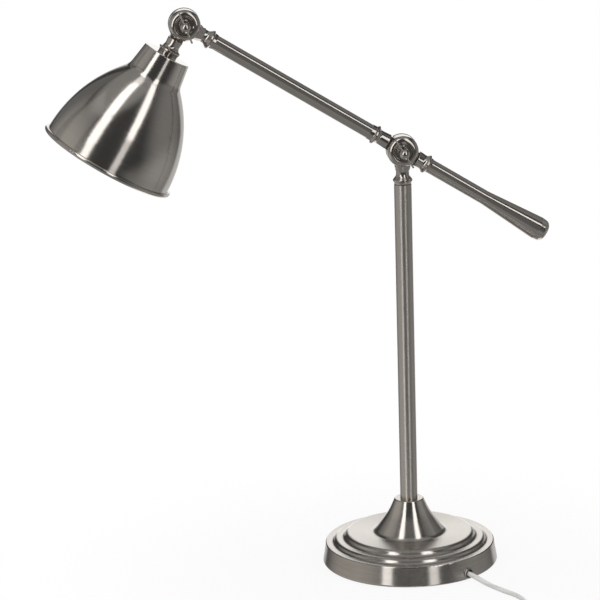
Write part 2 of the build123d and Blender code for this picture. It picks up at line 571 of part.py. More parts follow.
sleeve = rod(GROMMET_SLEEVE_R, along_exit(rim_at_exit - GROMMET_IN), along_exit(rim_at_exit + 0.5))
cord_grommet = flange + sleeve - rod(GROMMET_BORE_R, before_rim, past_rim)

# The cord's lead: straight out of the grommet, down to the table, then round to a line in front of the base.
lead_runs = [
    (EXIT_HEADING + 2.5, 24.0, CORD_LIE_Z),
    (EXIT_HEADING - 4.0, 27.0, CORD_LIE_Z),
    (EXIT_HEADING + 1.5, 27.0, CORD_LIE_Z),
    (12.0, 25.0, CORD_LIE_Z),
    (-12.0, 25.0, CORD_LIE_Z),
    (-36.0, 25.0, CORD_LIE_Z),
    (-59.0, 24.0, CORD_LIE_Z),
    (-81.0, 22.0, SWITCH_CORD_Z),
    (-90.0, 15.0, SWITCH_CORD_Z),
]


def walk(points, runs):
    """Goes on from the last point by level runs of a heading and a length, each ending at a height."""
    points = [Vector(p) for p in points]
    for turn, length, height in runs:
        step = points[-1] + heading(turn) * length
        points.append(Vector(step.X, step.Y, height))
    return points


lead_start = [along_exit(GRIP_AT + 6.0), along_exit(rim_at_exit + 3.0)]
lead_points = walk(lead_start, lead_runs)
cord_lead, lead_path = bent_cord("cord_lead", lead_points)
cord_lead += rod(CORD_R, along_exit(GRIP_AT), along_exit(GRIP_AT + 6.0))
away = heading(-90.0)
left = Vector(-away.Y, away.X, 0)

# In-line switch on the lead.
switch_start = lead_points[-1]
switch_mid = switch_start + away * (SWITCH_L / 2)
switch_frame = Plane(Vector(switch_mid.X, switch_mid.Y, 0), x_dir=away)
split_z = SWITCH_CORD_Z + 1.0
case_low = 0.3
case_form = Pos(0, 0, case_low) * extrude(RectangleRounded(SWITCH_L, SWITCH_W, 5.0), split_z - case_low)
switch_case = switch_frame * fillet(case_form.edges().group_by(Axis.Z)[0], 1.5)
lid_form = Pos(0, 0, split_z) * extrude(RectangleRounded(SWITCH_L, SWITCH_W, 5.0), SWITCH_H - split_z)
lid_form = fillet(lid_form.edges().group_by(Axis.Z)[-1], 2.5)
lid_form -= Pos(0, 0, SWITCH_H) * Box(ROCKER_L + 1.0, ROCKER_W + 1.0, 2 * ROCKER_WELL)
rocker_axis_z = SWITCH_H - ROCKER_SUNK
lid_form -= Pos(0, 0, rocker_axis_z) * Rot(90, 0, 0) * Cylinder(ROCKER_PIN_R + RUN_GAP, ROCKER_W + 3.4)
switch_lid = switch_frame * lid_form
rocker_form = Pos(0, 0, ROCKER_H / 2) * Box(ROCKER_L, ROCKER_W, ROCKER_H)
rocker_form = fillet(rocker_form.edges().group_by(Axis.Z)[-1], 0.7)
rocker_form += Rot(90, 0, 0) * Cylinder(2.0, ROCKER_W)
rocker_form += Rot(90, 0, 0) * Cylinder(ROCKER_PIN_R, ROCKER_W + 3.0)
switch_rocker = switch_frame * Pos(0, 0, rocker_axis_z) * Rot(0, ROCKER_TIP, 0) * rocker_form
rocker_pivot = Vector(switch_mid.X, switch_mid.Y, rocker_axis_z)

# A short lead from the switch down to the coil.
link_start = switch_start + away * SWITCH_L
link_points = [link_start]
for run, height in ((10.0, SWITCH_CORD_Z), (14.0, COIL_Z), (10.0, COIL_Z)):
    step = link_points[-1] + away * run
    link_points.append(Vector(step.X, step.Y, height))
cord_link, link_path = bent_cord("cord_link", link_points)

# The coil: it spirals in on the table, climbs one layer in the half turn where it reverses, and spirals out.
coil_enter = link_points[-1] + away * CORD_D
coil_enter = Vector(coil_enter.X, coil_enter.Y, COIL_Z)
coil_mid = coil_enter + left * COIL_R
QUARTERS = 2 * QUARTER_TURN_COUNT + 2
coil_inner = COIL_R - LAYER * QUARTER_TURN_COUNT / 4


def coil_point(quarter):
    """Radius and height of the coil after a number of quarter turns."""
    if quarter <= QUARTER_TURN_COUNT:
        return COIL_R - LAYER * quarter / 4, COIL_Z
    if quarter < QUARTER_TURN_COUNT + 2:
        return coil_inner - LAYER / 4, COIL_Z + LAYER / 2
    return coil_inner + LAYER * (quarter - QUARTER_TURN_COUNT - 2) / 4, COIL_Z + LAYER


def coil_place(quarter):
    radius, height = coil_point(quarter)
    turn = math.pi / 2 * quarter
    flat = coil_mid - left * (radius * math.cos(turn)) + away * (radius * math.sin(turn))
    return Vector(flat.X, flat.Y, height)


def coil_way(quarter):
    """The direction of the coil at a quarter turn, from the change of radius and height around it."""
    before, after = max(quarter - 1, 0), min(quarter + 1, QUARTERS)
    swept = math.pi / 2 * (after - before)
    growth = (coil_point(after)[0] - coil_point(before)[0]) / swept
    climb = (coil_point(after)[1] - coil_point(before)[1]) / swept
    if quarter in (0, QUARTERS):
        growth = 0.0
    if quarter != QUARTER_TURN_COUNT + 1:
        climb = 0.0
    radius = coil_point(quarter)[0]
    turn = math.pi / 2 * quarter
    outward = left * -math.cos(turn) + away * math.sin(turn)
    onward = left * math.sin(turn) + away * math.cos(turn)
    return (outward * growth + onward * radius + Vector(0, 0, climb)).normalized()


def biarc(start, start_way, end, end_way):
    """Two arcs that leave one point and reach another in given directions."""
    gap = end - start
    both = start_way + end_way
    spread = 2 * (1 - start_way.dot(end_way))
    lean = gap.dot(both)
    reach = (math.sqrt(lean**2 + spread * gap.dot(gap)) - lean) / spread
    joint = (start + end + (start_way - end_way) * reach) / 2
    second_way = (joint - (start + start_way * reach)).normalized()
    return [
        TangentArc([start, joint], tangent=start_way),
        TangentArc([joint, end], tangent=second_way),
    ]


coil_edges = [Line(coil_enter - away * CORD_D, coil_enter)]
for quarter in range(QUARTERS):
    ends = coil_place(quarter), coil_place(quarter + 1)
    ways = coil_way(quarter), coil_way(quarter + 1)
    coil_edges += biarc(ends[0], ways[0], ends[1], ways[1])
coil_leave = coil_place(QUARTERS)
coil_edges.append(Line(coil_leave, coil_leave + away * CORD_D))
coil_path = Wire(coil_edges)
cord_coil = tube_along(coil_path, CORD_R)
samples = 900
line = [coil_path @ (i / samples) for i in range(samples + 1)]
apart = int(3 * CORD_D / coil_path.length * samples) + 1
gaps = [(p - q).length for i, p in enumerate(line) for q in line[i + apart:]]
print("cord_coil least gap", round(min(gaps) - CORD_D, 3), "length", round(coil_path.length, 1))

# A tie around the bundle, a quarter of the way round the coil.
bundle_inner = coil_inner - LAYER / 4 - CORD_R
tie_low = math.sqrt(bundle_inner**2 - (TIE_W / 2) ** 2) - 0.15
tie_high = COIL_R - LAYER / 2 + CORD_R + 0.3
tie_floor, tie_roof = COIL_Z - CORD_R - 0.15, COIL_Z + LAYER + CORD_R + 0.15
tie_mid = coil_mid + left * ((tie_low + tie_high) / 2) + Vector(0, 0, (tie_floor + tie_roof) / 2 - coil_mid.Z)
tie_hole = Box(TIE_W * 2, tie_high - tie_low, tie_roof - tie_floor)
tie_body = Box(TIE_W, tie_high - tie_low + 2 * TIE_T, tie_roof - tie_floor + 2 * TIE_T)
tie_body = fillet(tie_body.edges().filter_by(Axis.X), 1.5) - fillet(tie_hole.edges().filter_by(Axis.X), 1.0)
coil_tie = Plane(tie_mid, x_dir=away) * tie_body


def around_coil(degrees, radius, height):
    turn = math.radians(degrees)
    flat = coil_mid - left * (radius * math.cos(turn)) + away * (radius * math.sin(turn))
    return Vector(flat.X, flat.Y, height)


# The tail: off the top layer, down beside the coil and round it to the plug.
plug_z = PLUG_H / 2 + 0.2
tail_start = coil_leave + away * CORD_D
tail_points = [
    tail_start,
    tail_start + away * 17.0,
    around_coil(58, 56.0, COIL_Z + 2.6),
    around_coil(88, 57.5, CORD_LIE_Z),
    around_coil(117, 58.5, CORD_LIE_Z + 0.3),
    around_coil(146, 60.5, plug_z),
    around_coil(160, 63.5, plug_z),
]
cord_tail, tail_path = bent_cord("cord_tail", tail_points)
plug_way = (tail_points[-1] - tail_points[-2]).normalized()
plug_frame = Plane(tail_points[-1], x_dir=plug_way)
plug_sketch = FilletPolyline(
    (0, -4.5),
    (10, -5.5),
    (PLUG_L - 14, -PLUG_W / 2),
    (PLUG_L, -PLUG_W / 2),
    (PLUG_L, PLUG_W / 2),
    (PLUG_L - 14, PLUG_W / 2),
    (10, 5.5),
    (0, 4.5),
    radius=[1.0, 6.0, 4.0, 2.0, 2.0, 4.0, 6.0, 1.0],
    close=True,
)
plug_form = extrude(make_face(plug_sketch), PLUG_H / 2, both=True)
plug_levels = plug_form.edges().group_by(Axis.Z)
plug_body = plug_frame * fillet(plug_levels[0] + plug_levels[-1], 2.0)
blades = []
for side in (-1, 1):
    blade_frame = Plane((PLUG_L, side * PIN_SPACING / 2, 0), z_dir=(1, 0, 0))
    blade = Solid.make_cylinder(PIN_BLADE_R, PIN_BLADE_L, blade_frame)
    blades.append(plug_frame * fillet(blade.edges().sort_by(Axis.X)[-1], 1.2))
plug_pins = Compound(children=blades)
lead_out = lead_path.length - (along_exit(rim_at_exit) - lead_points[0]).length
cord_total = lead_out + SWITCH_L + link_path.length + coil_path.length + tail_path.length
print("cord length outside the base", round(cord_total, 1), "wanted", CORD_LENGTH)
print("coil turns", QUARTERS / 4, "coil middle", coil_mid, "tail end", tail_points[-1])
print("head pivot", head_pivot, "rocker pivot", rocker_pivot)
print("shade mouth", shade_axis * Pos(0, 0, down(BELL_MOUTH_AT)))

nodes = {
    "base_shell": base_shell,
    "base_ballast": base_ballast,
    "base_plate": base_plate,
    "base_pad": base_pad,
    "plate_screws": plate_screws,
    "column_tube": column_tube,
    "column_plug": column_plug,
    "column_bush": column_bush,
    "tie_rod": tie_rod,
    "tie_washer": tie_washer,
    "tie_nut": tie_nut,
    "slip_washer": slip_washer,
    "column_wire": column_wire,
    "cord_grommet": cord_grommet,
    "cord_grip": cord_grip,
    "terminal_block": terminal_block,
    "cord_inner": cord_inner,
    "cord_lead": cord_lead,
    "switch_case": switch_case,
    "switch_lid": switch_lid,
    "switch_rocker": switch_rocker,
    "cord_link": cord_link,
    "cord_coil": cord_coil,
    "coil_tie": coil_tie,
    "cord_tail": cord_tail,
    "plug_body": plug_body,
    "plug_pins": plug_pins,
    "elbow_fork": elbow_fork,
    "swivel_nipple": swivel_nipple,
    "swivel_washer": swivel_washer,
    "swivel_nut": swivel_nut,
    "elbow_washers": elbow_washers,
    "elbow_cap_nut": elbow_cap_nut,
    "elbow_screw": elbow_screw,
    "elbow_bar": elbow_bar,
    "arm_hub": arm_hub,
    "arm_tube": arm_tube,
    "arm_wire": arm_wire,
    "handle_weight": handle_weight,
    "head_fork": head_fork,
    "head_washers": head_washers,
    "head_cap_nut": head_cap_nut,
    "head_screw": head_screw,
    "head_bar": head_bar,
    "shade_stem": shade_stem,
    "shade_nipple": shade_nipple,
    "shade": shade,
    "lock_nut": lock_nut,
    "holder_cap": holder_cap,
    "holder_body": holder_body,
    "holder_shell": holder_shell,
    "holder_contact": holder_contact,
    "head_wire": head_wire,
    "bulb_cap": bulb_cap,
    "bulb_glass": bulb_glass,
}
for name, shape in nodes.items():
    export_step(shape, f"parts/{name}.step")
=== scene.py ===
import math

import bpy
from bpy.props import FloatProperty, FloatVectorProperty, IntProperty, PointerProperty
from mathutils import Matrix, Vector


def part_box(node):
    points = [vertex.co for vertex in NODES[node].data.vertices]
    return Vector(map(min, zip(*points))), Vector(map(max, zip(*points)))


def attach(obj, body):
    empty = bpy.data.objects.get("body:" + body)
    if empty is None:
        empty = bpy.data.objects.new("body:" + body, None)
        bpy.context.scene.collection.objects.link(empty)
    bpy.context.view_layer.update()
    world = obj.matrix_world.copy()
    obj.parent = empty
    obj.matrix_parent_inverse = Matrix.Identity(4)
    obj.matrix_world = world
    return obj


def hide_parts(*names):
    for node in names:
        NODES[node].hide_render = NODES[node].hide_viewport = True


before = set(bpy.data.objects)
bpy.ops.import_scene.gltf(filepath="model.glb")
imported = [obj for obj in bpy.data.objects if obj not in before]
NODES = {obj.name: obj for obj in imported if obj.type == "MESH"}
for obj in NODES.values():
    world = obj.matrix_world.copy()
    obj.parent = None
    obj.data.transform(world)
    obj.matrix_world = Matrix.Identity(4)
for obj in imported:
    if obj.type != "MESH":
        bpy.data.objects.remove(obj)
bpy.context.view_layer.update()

bl_info = {
    "name": "Swing arm desk lamp",
    "version": (1, 0, 0),
    "blender": (4, 5, 0),
    "location": "View3D > Sidebar > Lamp",
    "description": "Finishes, cord and studio for a balanced desk lamp in satin nickel",
    "category": "Object",
}

# Places on the lamp, in metres and radians, in the frame of its base.
ELBOW = (0.0, 0.0, 0.465)
HEAD = (-0.229147, 0.0, 0.611546)
ARM_TURN = (0, math.radians(32.6), 0)
SHADE_TURN = (0, math.radians(31.4), 0)
ROCKER_PIVOT = (-0.001265, -0.231541, 0.0108)
ROCKER_TIP = math.radians(8.0)
PLUG_START = (-0.09048, -0.33225, 0.00705)
PLUG_WAY = (0.787, -0.617, 0.0)
PLUG_TOP = 0.0139
COIL_MID = (-0.068766, -0.272584)
CORD_EXIT = (0.0536, -0.07946, 0.008)
EXIT_TURN = (0, 0, math.radians(-56))
NO_TURN = (0, 0, 0)

# The shade's half section, out from the axis and down from the top of the cap, which lies this far from the
# pivot. The bell is an arc about a point and the cap is a cone, and the paint is on the inner side of both.
CAP_TOP = 0.0364
BELL_ARC_IN, BELL_ARC_DOWN, BELL_ARC_R = 0.08247, 0.13345, 0.15475
BELL_FROM, BELL_TO = 0.0268, 0.1272
CAP_R, CAP_SLOPE = 0.02578, 0.1556
CAP_FROM, CAP_TO = 0.0005, 0.0272

# A dark band of painted shade round the grommet's bore, where the hole round the cord falls in shade, fades
# into its metal ring between these radii.
BORE_SHADE_R, BORE_SHADE_END_R = 0.0047, 0.0051

# Heights of the cord's middle: on the table, in the switch, and in the lower layer of the coil.
TABLE_Z, SWITCH_Z, COIL_Z = 0.00305, 0.0058, 0.00345
COIL_STEPS = 4
# A curve of order 3 runs a little inside the points that control it.
COIL_SPREAD = 1.016
# Radians that the cord's two cores turn from one end to the other, and once round it.
TWIST_ALONG, TWIST_AROUND = 628.3, 12.566

# Marks on the rocker, ribs on the plug and the tie round the coil.
MARK_AT, MARK_UP = 0.0048, 0.00262
BAR_SIZE, BAR_EDGE = (0.0007, 0.0032, 0.00024), 0.0001
RING_R, RING_WIRE_R, RING_SHAPE = 0.00135, 0.0003, (1.0, 1.15, 0.45)
RIB_COUNT, RIB_START, RIB_PITCH = 5, 0.0215, 0.0024
RIB_SIZE, RIB_TAPER, RIB_EDGE = (0.0011, 0.015, 0.0013), (0.5, 0.93, 1.0), 0.00022
STRAP_THICK, STRAP_CORNER, STRAP_EDGE = 0.0008, 0.0022, 0.00016
KEEPER_SIZE, KEEPER_EDGE = (0.0062, 0.0046, 0.0012), 0.0003
KEEPER_FRAME, KEEPER_DIP, KEEPER_SUNK = 0.0008, 0.0003, 0.0002
# A face looks along an axis when its normal has this much of it.
FACING = 0.9

# Brush lines in the width of one band, and a band's changes round the axis as a share of a line's.
BAND_LINES, BAND_ARC = 9.0, 0.3
# Changes of a line and of a band, round the axis and in each metre along it, where the lines run along.
LONG_LINE_ARC, LONG_LINE_RUN = 34.0, 60.0
LONG_BAND_ARC, LONG_BAND_RUN = 5.0, 12.0
# Changes of a line and of a band round the axis, where the lines are rings across it.
RING_LINE_ARC, RING_BAND_ARC = 4.0, 1.5

# The floor, and the ring round the lamp where its shading fades out.
FLOOR_SIZE, FLOOR_MID, FLOOR_FRAME = (1.9, 1.7, 0.02), (-0.1, 0.1, -0.0101), 0.02
SHADING_MID, SHADING_R, SHADING_END_R = (-0.02, -0.05, 0), 0.10, 0.45
FLOOR_GLOW = 0.9

# The camera: degrees round from the front, above the table and of roll, then metres and millimetres.
CAMERA_AROUND, CAMERA_ABOVE, CAMERA_ROLL = -5.211, 14.77, -1.647
CAMERA_AIM, CAMERA_DISTANCE, CAMERA_FAR = (-0.1148, 0, 0.30431), 3.3114, 50.0
CAMERA_LENS, CAMERA_SENSOR = 183.1, 36.0

# Brightness of the room that the metal mirrors.
ROOM_LEVEL, LEFT_LEVEL, RIGHT_LEVEL, CEILING_LEVEL, GROUND_LEVEL = 0.055, 0.34, 0.2, 0.26, 0.2
BACK_SIDE_LEVEL, BACK_LEVEL = 0.65, 1.25
PLAIN_LIGHT, WARM_LIGHT = (1.0, 1.0, 1.0), (1.0, 0.965, 0.91)

# Soft lamps for the matt pieces: place, width and share of the key lamp's power.
SOFT_AIM = (-0.1, 0, 0.25)
SOFT_LAMPS = {
    "key_lamp": ((-0.9, -1.7, 2.3), 1.4, 1.0),
    "fill_lamp": ((1.5, -1.0, 1.9), 1.6, 0.6),
}

# Pieces that mirror the same strip lights, and the place that their strips are set out from.
# The knuckles' group is every piece that is in no other.
MIRRORS = {
    "shade": (("shade",), (-0.28, 0.0, 0.53)),
    "arm": (("arm_tube", "handle_weight"), (-0.05, 0.0, 0.49)),
    "base": (("base_shell",), (0.0, -0.05, 0.03)),
    "stand": (("base_shell", "column_tube", "cord_grommet"), (0.0, -0.05, 0.03)),
}
KNUCKLES_MID = (-0.11, 0.0, 0.54)

# Strip lights: the group that mirrors the strip, its two ends in degrees round from the front and above
# the table, its width and its brightness. All are equally far away.
STRIP_REACH = 4.4
STRIPS = {
    "shade_left_low": ("shade", (-48, 6), (-41, 26), 1.0, 0.9),
    "shade_left": ("shade", (-41, 26), (-31, 51), 1.2, 1.0),
    "shade_left_high": ("shade", (-31, 51), (9, 80), 1.2, 1.0),
    "shade_left_top": ("shade", (6, 79), (62, 78), 1.15, 0.5),
    "shade_right_low": ("shade", (3, -9), (19, 15), 0.78, 0.5),
    "shade_right": ("shade", (19, 15), (68, 50), 0.86, 1.0),
    "base_left_low": ("stand", (-42, -32), (-36, 10), 0.92, 0.62),
    "base_left": ("stand", (-36, 10), (-45, 56), 1.1, 1.0),
    "base_left_high": ("base", (-45, 56), (-74, 66), 0.8, 0.8),
    "base_right_low": ("stand", (20, -32), (25, 10), 0.85, 0.5),
    "base_right": ("stand", (25, 10), (31, 56), 1.1, 1.0),
    "base_right_high": ("base", (31, 56), (48, 67), 0.8, 0.8),
    "base_side_left": ("base", (-96, 2), (-86, 44), 3.0, 0.06),
    "base_side_right": ("base", (74, 2), (84, 44), 3.0, 0.06),
    "shade_wall": ("shade", (-88, 14), (-78, 62), 2.6, 0.05),
    "shade_back": ("shade", (-146, 4), (-136, 48), 2.4, 0.06),
    "arm_line": ("arm", (31.5, 43), (54, 19.5), 0.95, 0.85),
    "arm_above": ("arm", (78, 46), (150, 20), 2.4, 0.075),
    "arm_below": ("arm", (28, 20), (-3, -28), 2.4, 0.045),
    "knuckle_left": ("knuckles", (-42, -8), (-26, 62), 1.5, 0.8),
    "knuckle_right": ("knuckles", (24, -8), (36, 58), 1.3, 0.7),
}


class LampMetal(bpy.types.PropertyGroup):
    """The nickel plate."""
    nickel: FloatVectorProperty(
        name="Nickel", description="Colour of the plate", subtype="COLOR", size=3, min=0, max=1,
        default=(0.605, 0.572, 0.535))
    tarnish: FloatVectorProperty(
        name="Tarnish", description="Colour of the plate where it has dulled", subtype="COLOR", size=3,
        min=0, max=1, default=(0.50, 0.465, 0.42))
    roughness: FloatProperty(
        name="Roughness", description="Roughness of the brushed plate", subtype="FACTOR", min=0, max=1,
        default=0.17)
    grain: FloatProperty(
        name="Brush line", description="Width of one brush line", unit="LENGTH", min=0.00005, max=0.005,
        default=0.00028)
    depth: FloatProperty(
        name="Brush depth", description="Depth of a brush line", unit="LENGTH", min=0, max=0.001,
        default=0.000004)


class LampPlastics(bpy.types.PropertyGroup):
    """The cord and the moulded and painted pieces."""
    cord: FloatVectorProperty(
        name="Cord", description="Colour of the clear cord", subtype="COLOR", size=3, min=0, max=1,
        default=(0.88, 0.88, 0.86))
    moulded: FloatVectorProperty(
        name="Moulded", description="Colour of the switch, the plug and the lampholder", subtype="COLOR",
        size=3, min=0, max=1, default=(0.80, 0.80, 0.775))
    paint: FloatVectorProperty(
        name="Paint", description="Colour inside the shade", subtype="COLOR", size=3, min=0, max=1,
        default=(0.80, 0.79, 0.76))
    diameter: FloatProperty(
        name="Cord diameter", description="Thickness of the cord", unit="LENGTH", min=0.002, max=0.012,
        default=0.0055)
    coil_radius: FloatProperty(
        name="Coil radius", description="Where the cord enters the coil", unit="LENGTH", min=0.02, max=0.1,
        default=0.0410425)
    layer: FloatProperty(
        name="Coil pitch", description="Distance between turns that lie side by side", unit="LENGTH",
        min=0.003, max=0.02, default=0.0061)
    quarters: IntProperty(
        name="Quarter turns", description="Quarter turns of one layer of the coil", min=4, max=40, default=13)


class LampStudio(bpy.types.PropertyGroup):
    """The floor and the light."""
    floor: FloatVectorProperty(
        name="Floor", description="Colour of the floor", subtype="COLOR", size=3, min=0, max=1,
        default=(0.80, 0.80, 0.80))
    strip: FloatProperty(
        name="Strip lights", description="Strength of the strip lights that the metal mirrors", min=0, max=10,
        default=2.0)
    sky: FloatProperty(
        name="Fill", description="Strength of the even light all round", min=0, max=2, default=0.55)
    key: FloatProperty(
        name="Key lamp", description="Power of the lamp above the camera", unit="POWER", min=0, max=200,
        default=18)


class Value:
    """A shader socket. An expression on it adds the Math nodes that work it out."""

    def __init__(self, tree, socket):
        self.tree, self.socket = tree, socket

    def _math(self, operation, *values):
        node = self.tree.nodes.new("ShaderNodeMath")
        node.operation = operation
        for place, value in zip(node.inputs, values):
            if isinstance(value, Value):
                self.tree.links.new(value.socket, place)
            else:
                place.default_value = value
        return Value(self.tree, node.outputs[0])

    def __add__(self, other):
        return self._math("ADD", self, other)

    def __radd__(self, other):
        return self._math("ADD", other, self)

    def __sub__(self, other):
        return self._math("SUBTRACT", self, other)

    def __rsub__(self, other):
        return self._math("SUBTRACT", other, self)

    def __mul__(self, other):
        return self._math("MULTIPLY", self, other)

    def __truediv__(self, other):
        return self._math("DIVIDE", self, other)

    def __pow__(self, other):
        return self._math("POWER", self, other)

    def __neg__(self):
        return self._math("MULTIPLY", self, -1.0)

    def __abs__(self):
        return self._math("ABSOLUTE", self)

    def below(self, other):
        return self._math("LESS_THAN", self, other)

    def above(self, other):
        return self._math("GREATER_THAN", self, other)

    def most(self, other):
        return self._math("MAXIMUM", self, other)

    def least(self, other):
        return self._math("MINIMUM", self, other)

    def clamp(self):
        """Held between 0 and 1."""
        return self.most(0.0).least(1.0)

    def swing(self, amount):
        """A noise from 0 to 1 as a swing about zero, with this amount from end to end."""
        return (self - 0.5) * amount

    def rise(self, low, high):
        """0 up to low, 1 from high, and a smooth slope between them."""
        node = self.tree.nodes.new("ShaderNodeMapRange")
        node.interpolation_type = "SMOOTHSTEP"
        self.tree.links.new(self.socket, node.inputs["Value"])
        node.inputs["From Min"].default_value = low
        node.inputs["From Max"].default_value = high
        return Value(self.tree, node.outputs["Result"])


class Recipe:
    """A node tree that is being written."""

    def __init__(self, tree):
        self.tree = tree
        tree.nodes.clear()

    def node(self, kind, settings=None, values=None):
        node = self.tree.nodes.new(kind)
        for name, setting in (settings or {}).items():
            setattr(node, name, setting)
        for name, value in (values or {}).items():
            if isinstance(value, Value):
                self.tree.links.new(value.socket, node.inputs[name])
            else:
                node.inputs[name].default_value = value
        return node

    def get(self, kind, out, settings=None, values=None):
        return Value(self.tree, self.node(kind, settings, values).outputs[out])

    def split(self, vector):
        node = self.node("ShaderNodeSeparateXYZ", None, {0: vector})
        return [Value(self.tree, node.outputs[i]) for i in range(3)]

    def join(self, x, y, z):
        return self.get("ShaderNodeCombineXYZ", 0, None, {0: x, 1: y, 2: z})

    def mix(self, share, first, second):
        """A colour between two colours."""
        colours = [(*c, 1.0) if isinstance(c, tuple) else c for c in (first, second)]
        return self.get("ShaderNodeMix", 2, {"data_type": "RGBA"}, {0: share, 6: colours[0], 7: colours[1]})

    def noise(self, vector, scale, detail=2.0, rough=0.5, turn=None):
        """Noise in three dimensions, or in four where a turn is given."""
        values = {"Vector": vector, "Scale": scale, "Detail": detail, "Roughness": rough}
        if turn is None:
            return self.get("ShaderNodeTexNoise", "Fac", {"noise_dimensions": "3D"}, values)
        values["W"] = turn
        return self.get("ShaderNodeTexNoise", "Fac", {"noise_dimensions": "4D"}, values)

    def object_place(self, centre=(0, 0, 0), turn=NO_TURN):
        """Object coordinates, measured in a piece's own frame."""
        place = self.get("ShaderNodeTexCoord", "Object")
        values = {"Vector": place, "Location": centre, "Rotation": turn}
        return self.get("ShaderNodeMapping", 0, {"vector_type": "TEXTURE"}, values)

    def bump(self, height, strength, distance):
        values = {"Height": height, "Strength": strength, "Distance": distance}
        return self.get("ShaderNodeBump", 0, None, values)

    def rays(self):
        """1 for rays from the camera, for mirrored rays, and for rays that passed through a piece."""
        node = self.node("ShaderNodeLightPath")
        kinds = ("Is Camera Ray", "Is Glossy Ray", "Is Transmission Ray")
        return [Value(self.tree, node.outputs[kind]) for kind in kinds]


def new_finish(name):
    """A material, its recipe and its surface shader."""
    material = bpy.data.materials.new(name)
    material.use_nodes = True
    recipe = Recipe(material.node_tree)
    shader = recipe.node("ShaderNodeBsdfPrincipled")
    recipe.node("ShaderNodeOutputMaterial", None, {"Surface": Value(recipe.tree, shader.outputs[0])})
    return material, recipe, shader


def lay_over(recipe, shader, top, share):
    """Shows another shader over the surface shader where share is 1."""
    under, over = Value(recipe.tree, shader.outputs[0]), Value(recipe.tree, top.outputs[0])
    surface = shader.outputs[0].links[0].to_socket
    both = recipe.get("ShaderNodeMixShader", 0, None, {0: share, 1: under, 2: over})
    recipe.tree.links.new(both.socket, surface)


def feed(recipe, shader, **values):
    """Sets or links a surface shader's sockets, with their names in lower case and joined by lines."""
    for name, value in values.items():
        socket = shader.inputs[name.replace("_", " ").title().replace("Ior", "IOR")]
        if isinstance(value, Value):
            recipe.tree.links.new(value.socket, socket)
        elif isinstance(value, tuple):
            socket.default_value = (*value, 1.0)
        else:
            socket.default_value = value


def dress(material, *names):
    """Gives a finish to pieces of the CAD model."""
    for name in names:
        for slot in NODES[name].material_slots:
            slot.material = material


def tinted(colour, tint):
    """A colour times a tint."""
    return tuple(part * share for part, share in zip(colour, tint))


def turned_place(recipe, centre, turn, axis):
    """Along a turned piece's axis, out from it, and the cosine and sine of the way round it."""
    x, y, z = recipe.split(recipe.object_place(centre, turn))
    along, a, b = {"X": (x, y, z), "Y": (y, z, x), "Z": (z, x, y)}[axis]
    out = (a * a + b * b) ** 0.5
    return along, out, a / out, b / out


def nickel_plate(name, *place, **look):
    """A finish of brushed nickel alone."""
    material, recipe, shader = new_finish(name)
    brush(recipe, shader, *place, **look)
    return material


def brush(recipe, shader, centre, turn, axis, lines="round", dull=0.0, streak=1.0, arc=5.0, spread=0.0):
    """Satin nickel brushed on a lathe, with its lines round the axis, along it, or in rings across it.

    dull is added to the roughness, streak scales what the lines do, arc is how often a line changes on its
    way round, and spread draws the highlights out across the lines.
    """
    metal = bpy.context.scene.lamp_metal
    along, out, cosine, sine = turned_place(recipe, centre, turn, axis)
    fine = 1.0 / metal.grain
    coarse = fine / BAND_LINES
    line_turn = band_turn = None
    if lines == "round":
        wide = arc * BAND_ARC
        line_place, line_turn = recipe.join(along * fine, out * fine, cosine * arc), sine * arc
        band_place, band_turn = recipe.join(along * coarse, out * coarse, cosine * wide), sine * wide
    elif lines == "long":
        line_place = recipe.join(cosine * LONG_LINE_ARC, sine * LONG_LINE_ARC, along * LONG_LINE_RUN)
        band_place = recipe.join(cosine * LONG_BAND_ARC, sine * LONG_BAND_ARC, along * LONG_BAND_RUN)
    else:
        line_place = recipe.join(out * fine, cosine * RING_LINE_ARC, sine * RING_LINE_ARC)
        band_place = recipe.join(out * coarse, cosine * RING_BAND_ARC, sine * RING_BAND_ARC)
    line = recipe.noise(line_place, 1.0, rough=0.6, turn=line_turn)
    band = recipe.noise(band_place, 1.0, rough=0.5, turn=band_turn)
    place = recipe.object_place()
    touch = recipe.noise(place, 38.0, detail=3.0, rough=0.55)
    pit = recipe.noise(place, 900.0, detail=1.0)
    worn = touch.swing(0.4) + band.swing(0.5 * streak) + line.swing(0.35 * streak)
    colour = recipe.mix((0.42 - worn).clamp(), tuple(metal.nickel), tuple(metal.tarnish))
    rough = metal.roughness + dull + line.swing(0.08 * streak) + band.swing(0.06 * streak) + touch.swing(0.06)
    height = line + band * 0.6 + pit * 0.05
    feed(recipe, shader, base_color=colour, metallic=1.0, roughness=rough.most(0.08), anisotropic=spread,
         anisotropic_rotation=0.25, normal=recipe.bump(height, strength=0.35 * streak, distance=metal.depth))


def grained_metal(name, colour, dark, rough, grain, relief=0.00001, metallic=1.0):
    """A plain metal with an even grain, for pieces that aren't plated."""
    material, recipe, shader = new_finish(name)
    place = recipe.object_place()
    fine = recipe.noise(place, grain, detail=3.0, rough=0.6)
    cloud = recipe.noise(place, grain / 14.0, detail=3.0, rough=0.55)
    share = (cloud.swing(0.9) + fine.swing(0.5) + 0.4).clamp()
    feed(recipe, shader, base_color=recipe.mix(share, colour, dark), metallic=metallic,
         roughness=(rough + fine.swing(0.16) + cloud.swing(0.1)).most(0.05),
         normal=recipe.bump(fine, strength=0.4, distance=relief))
    return material


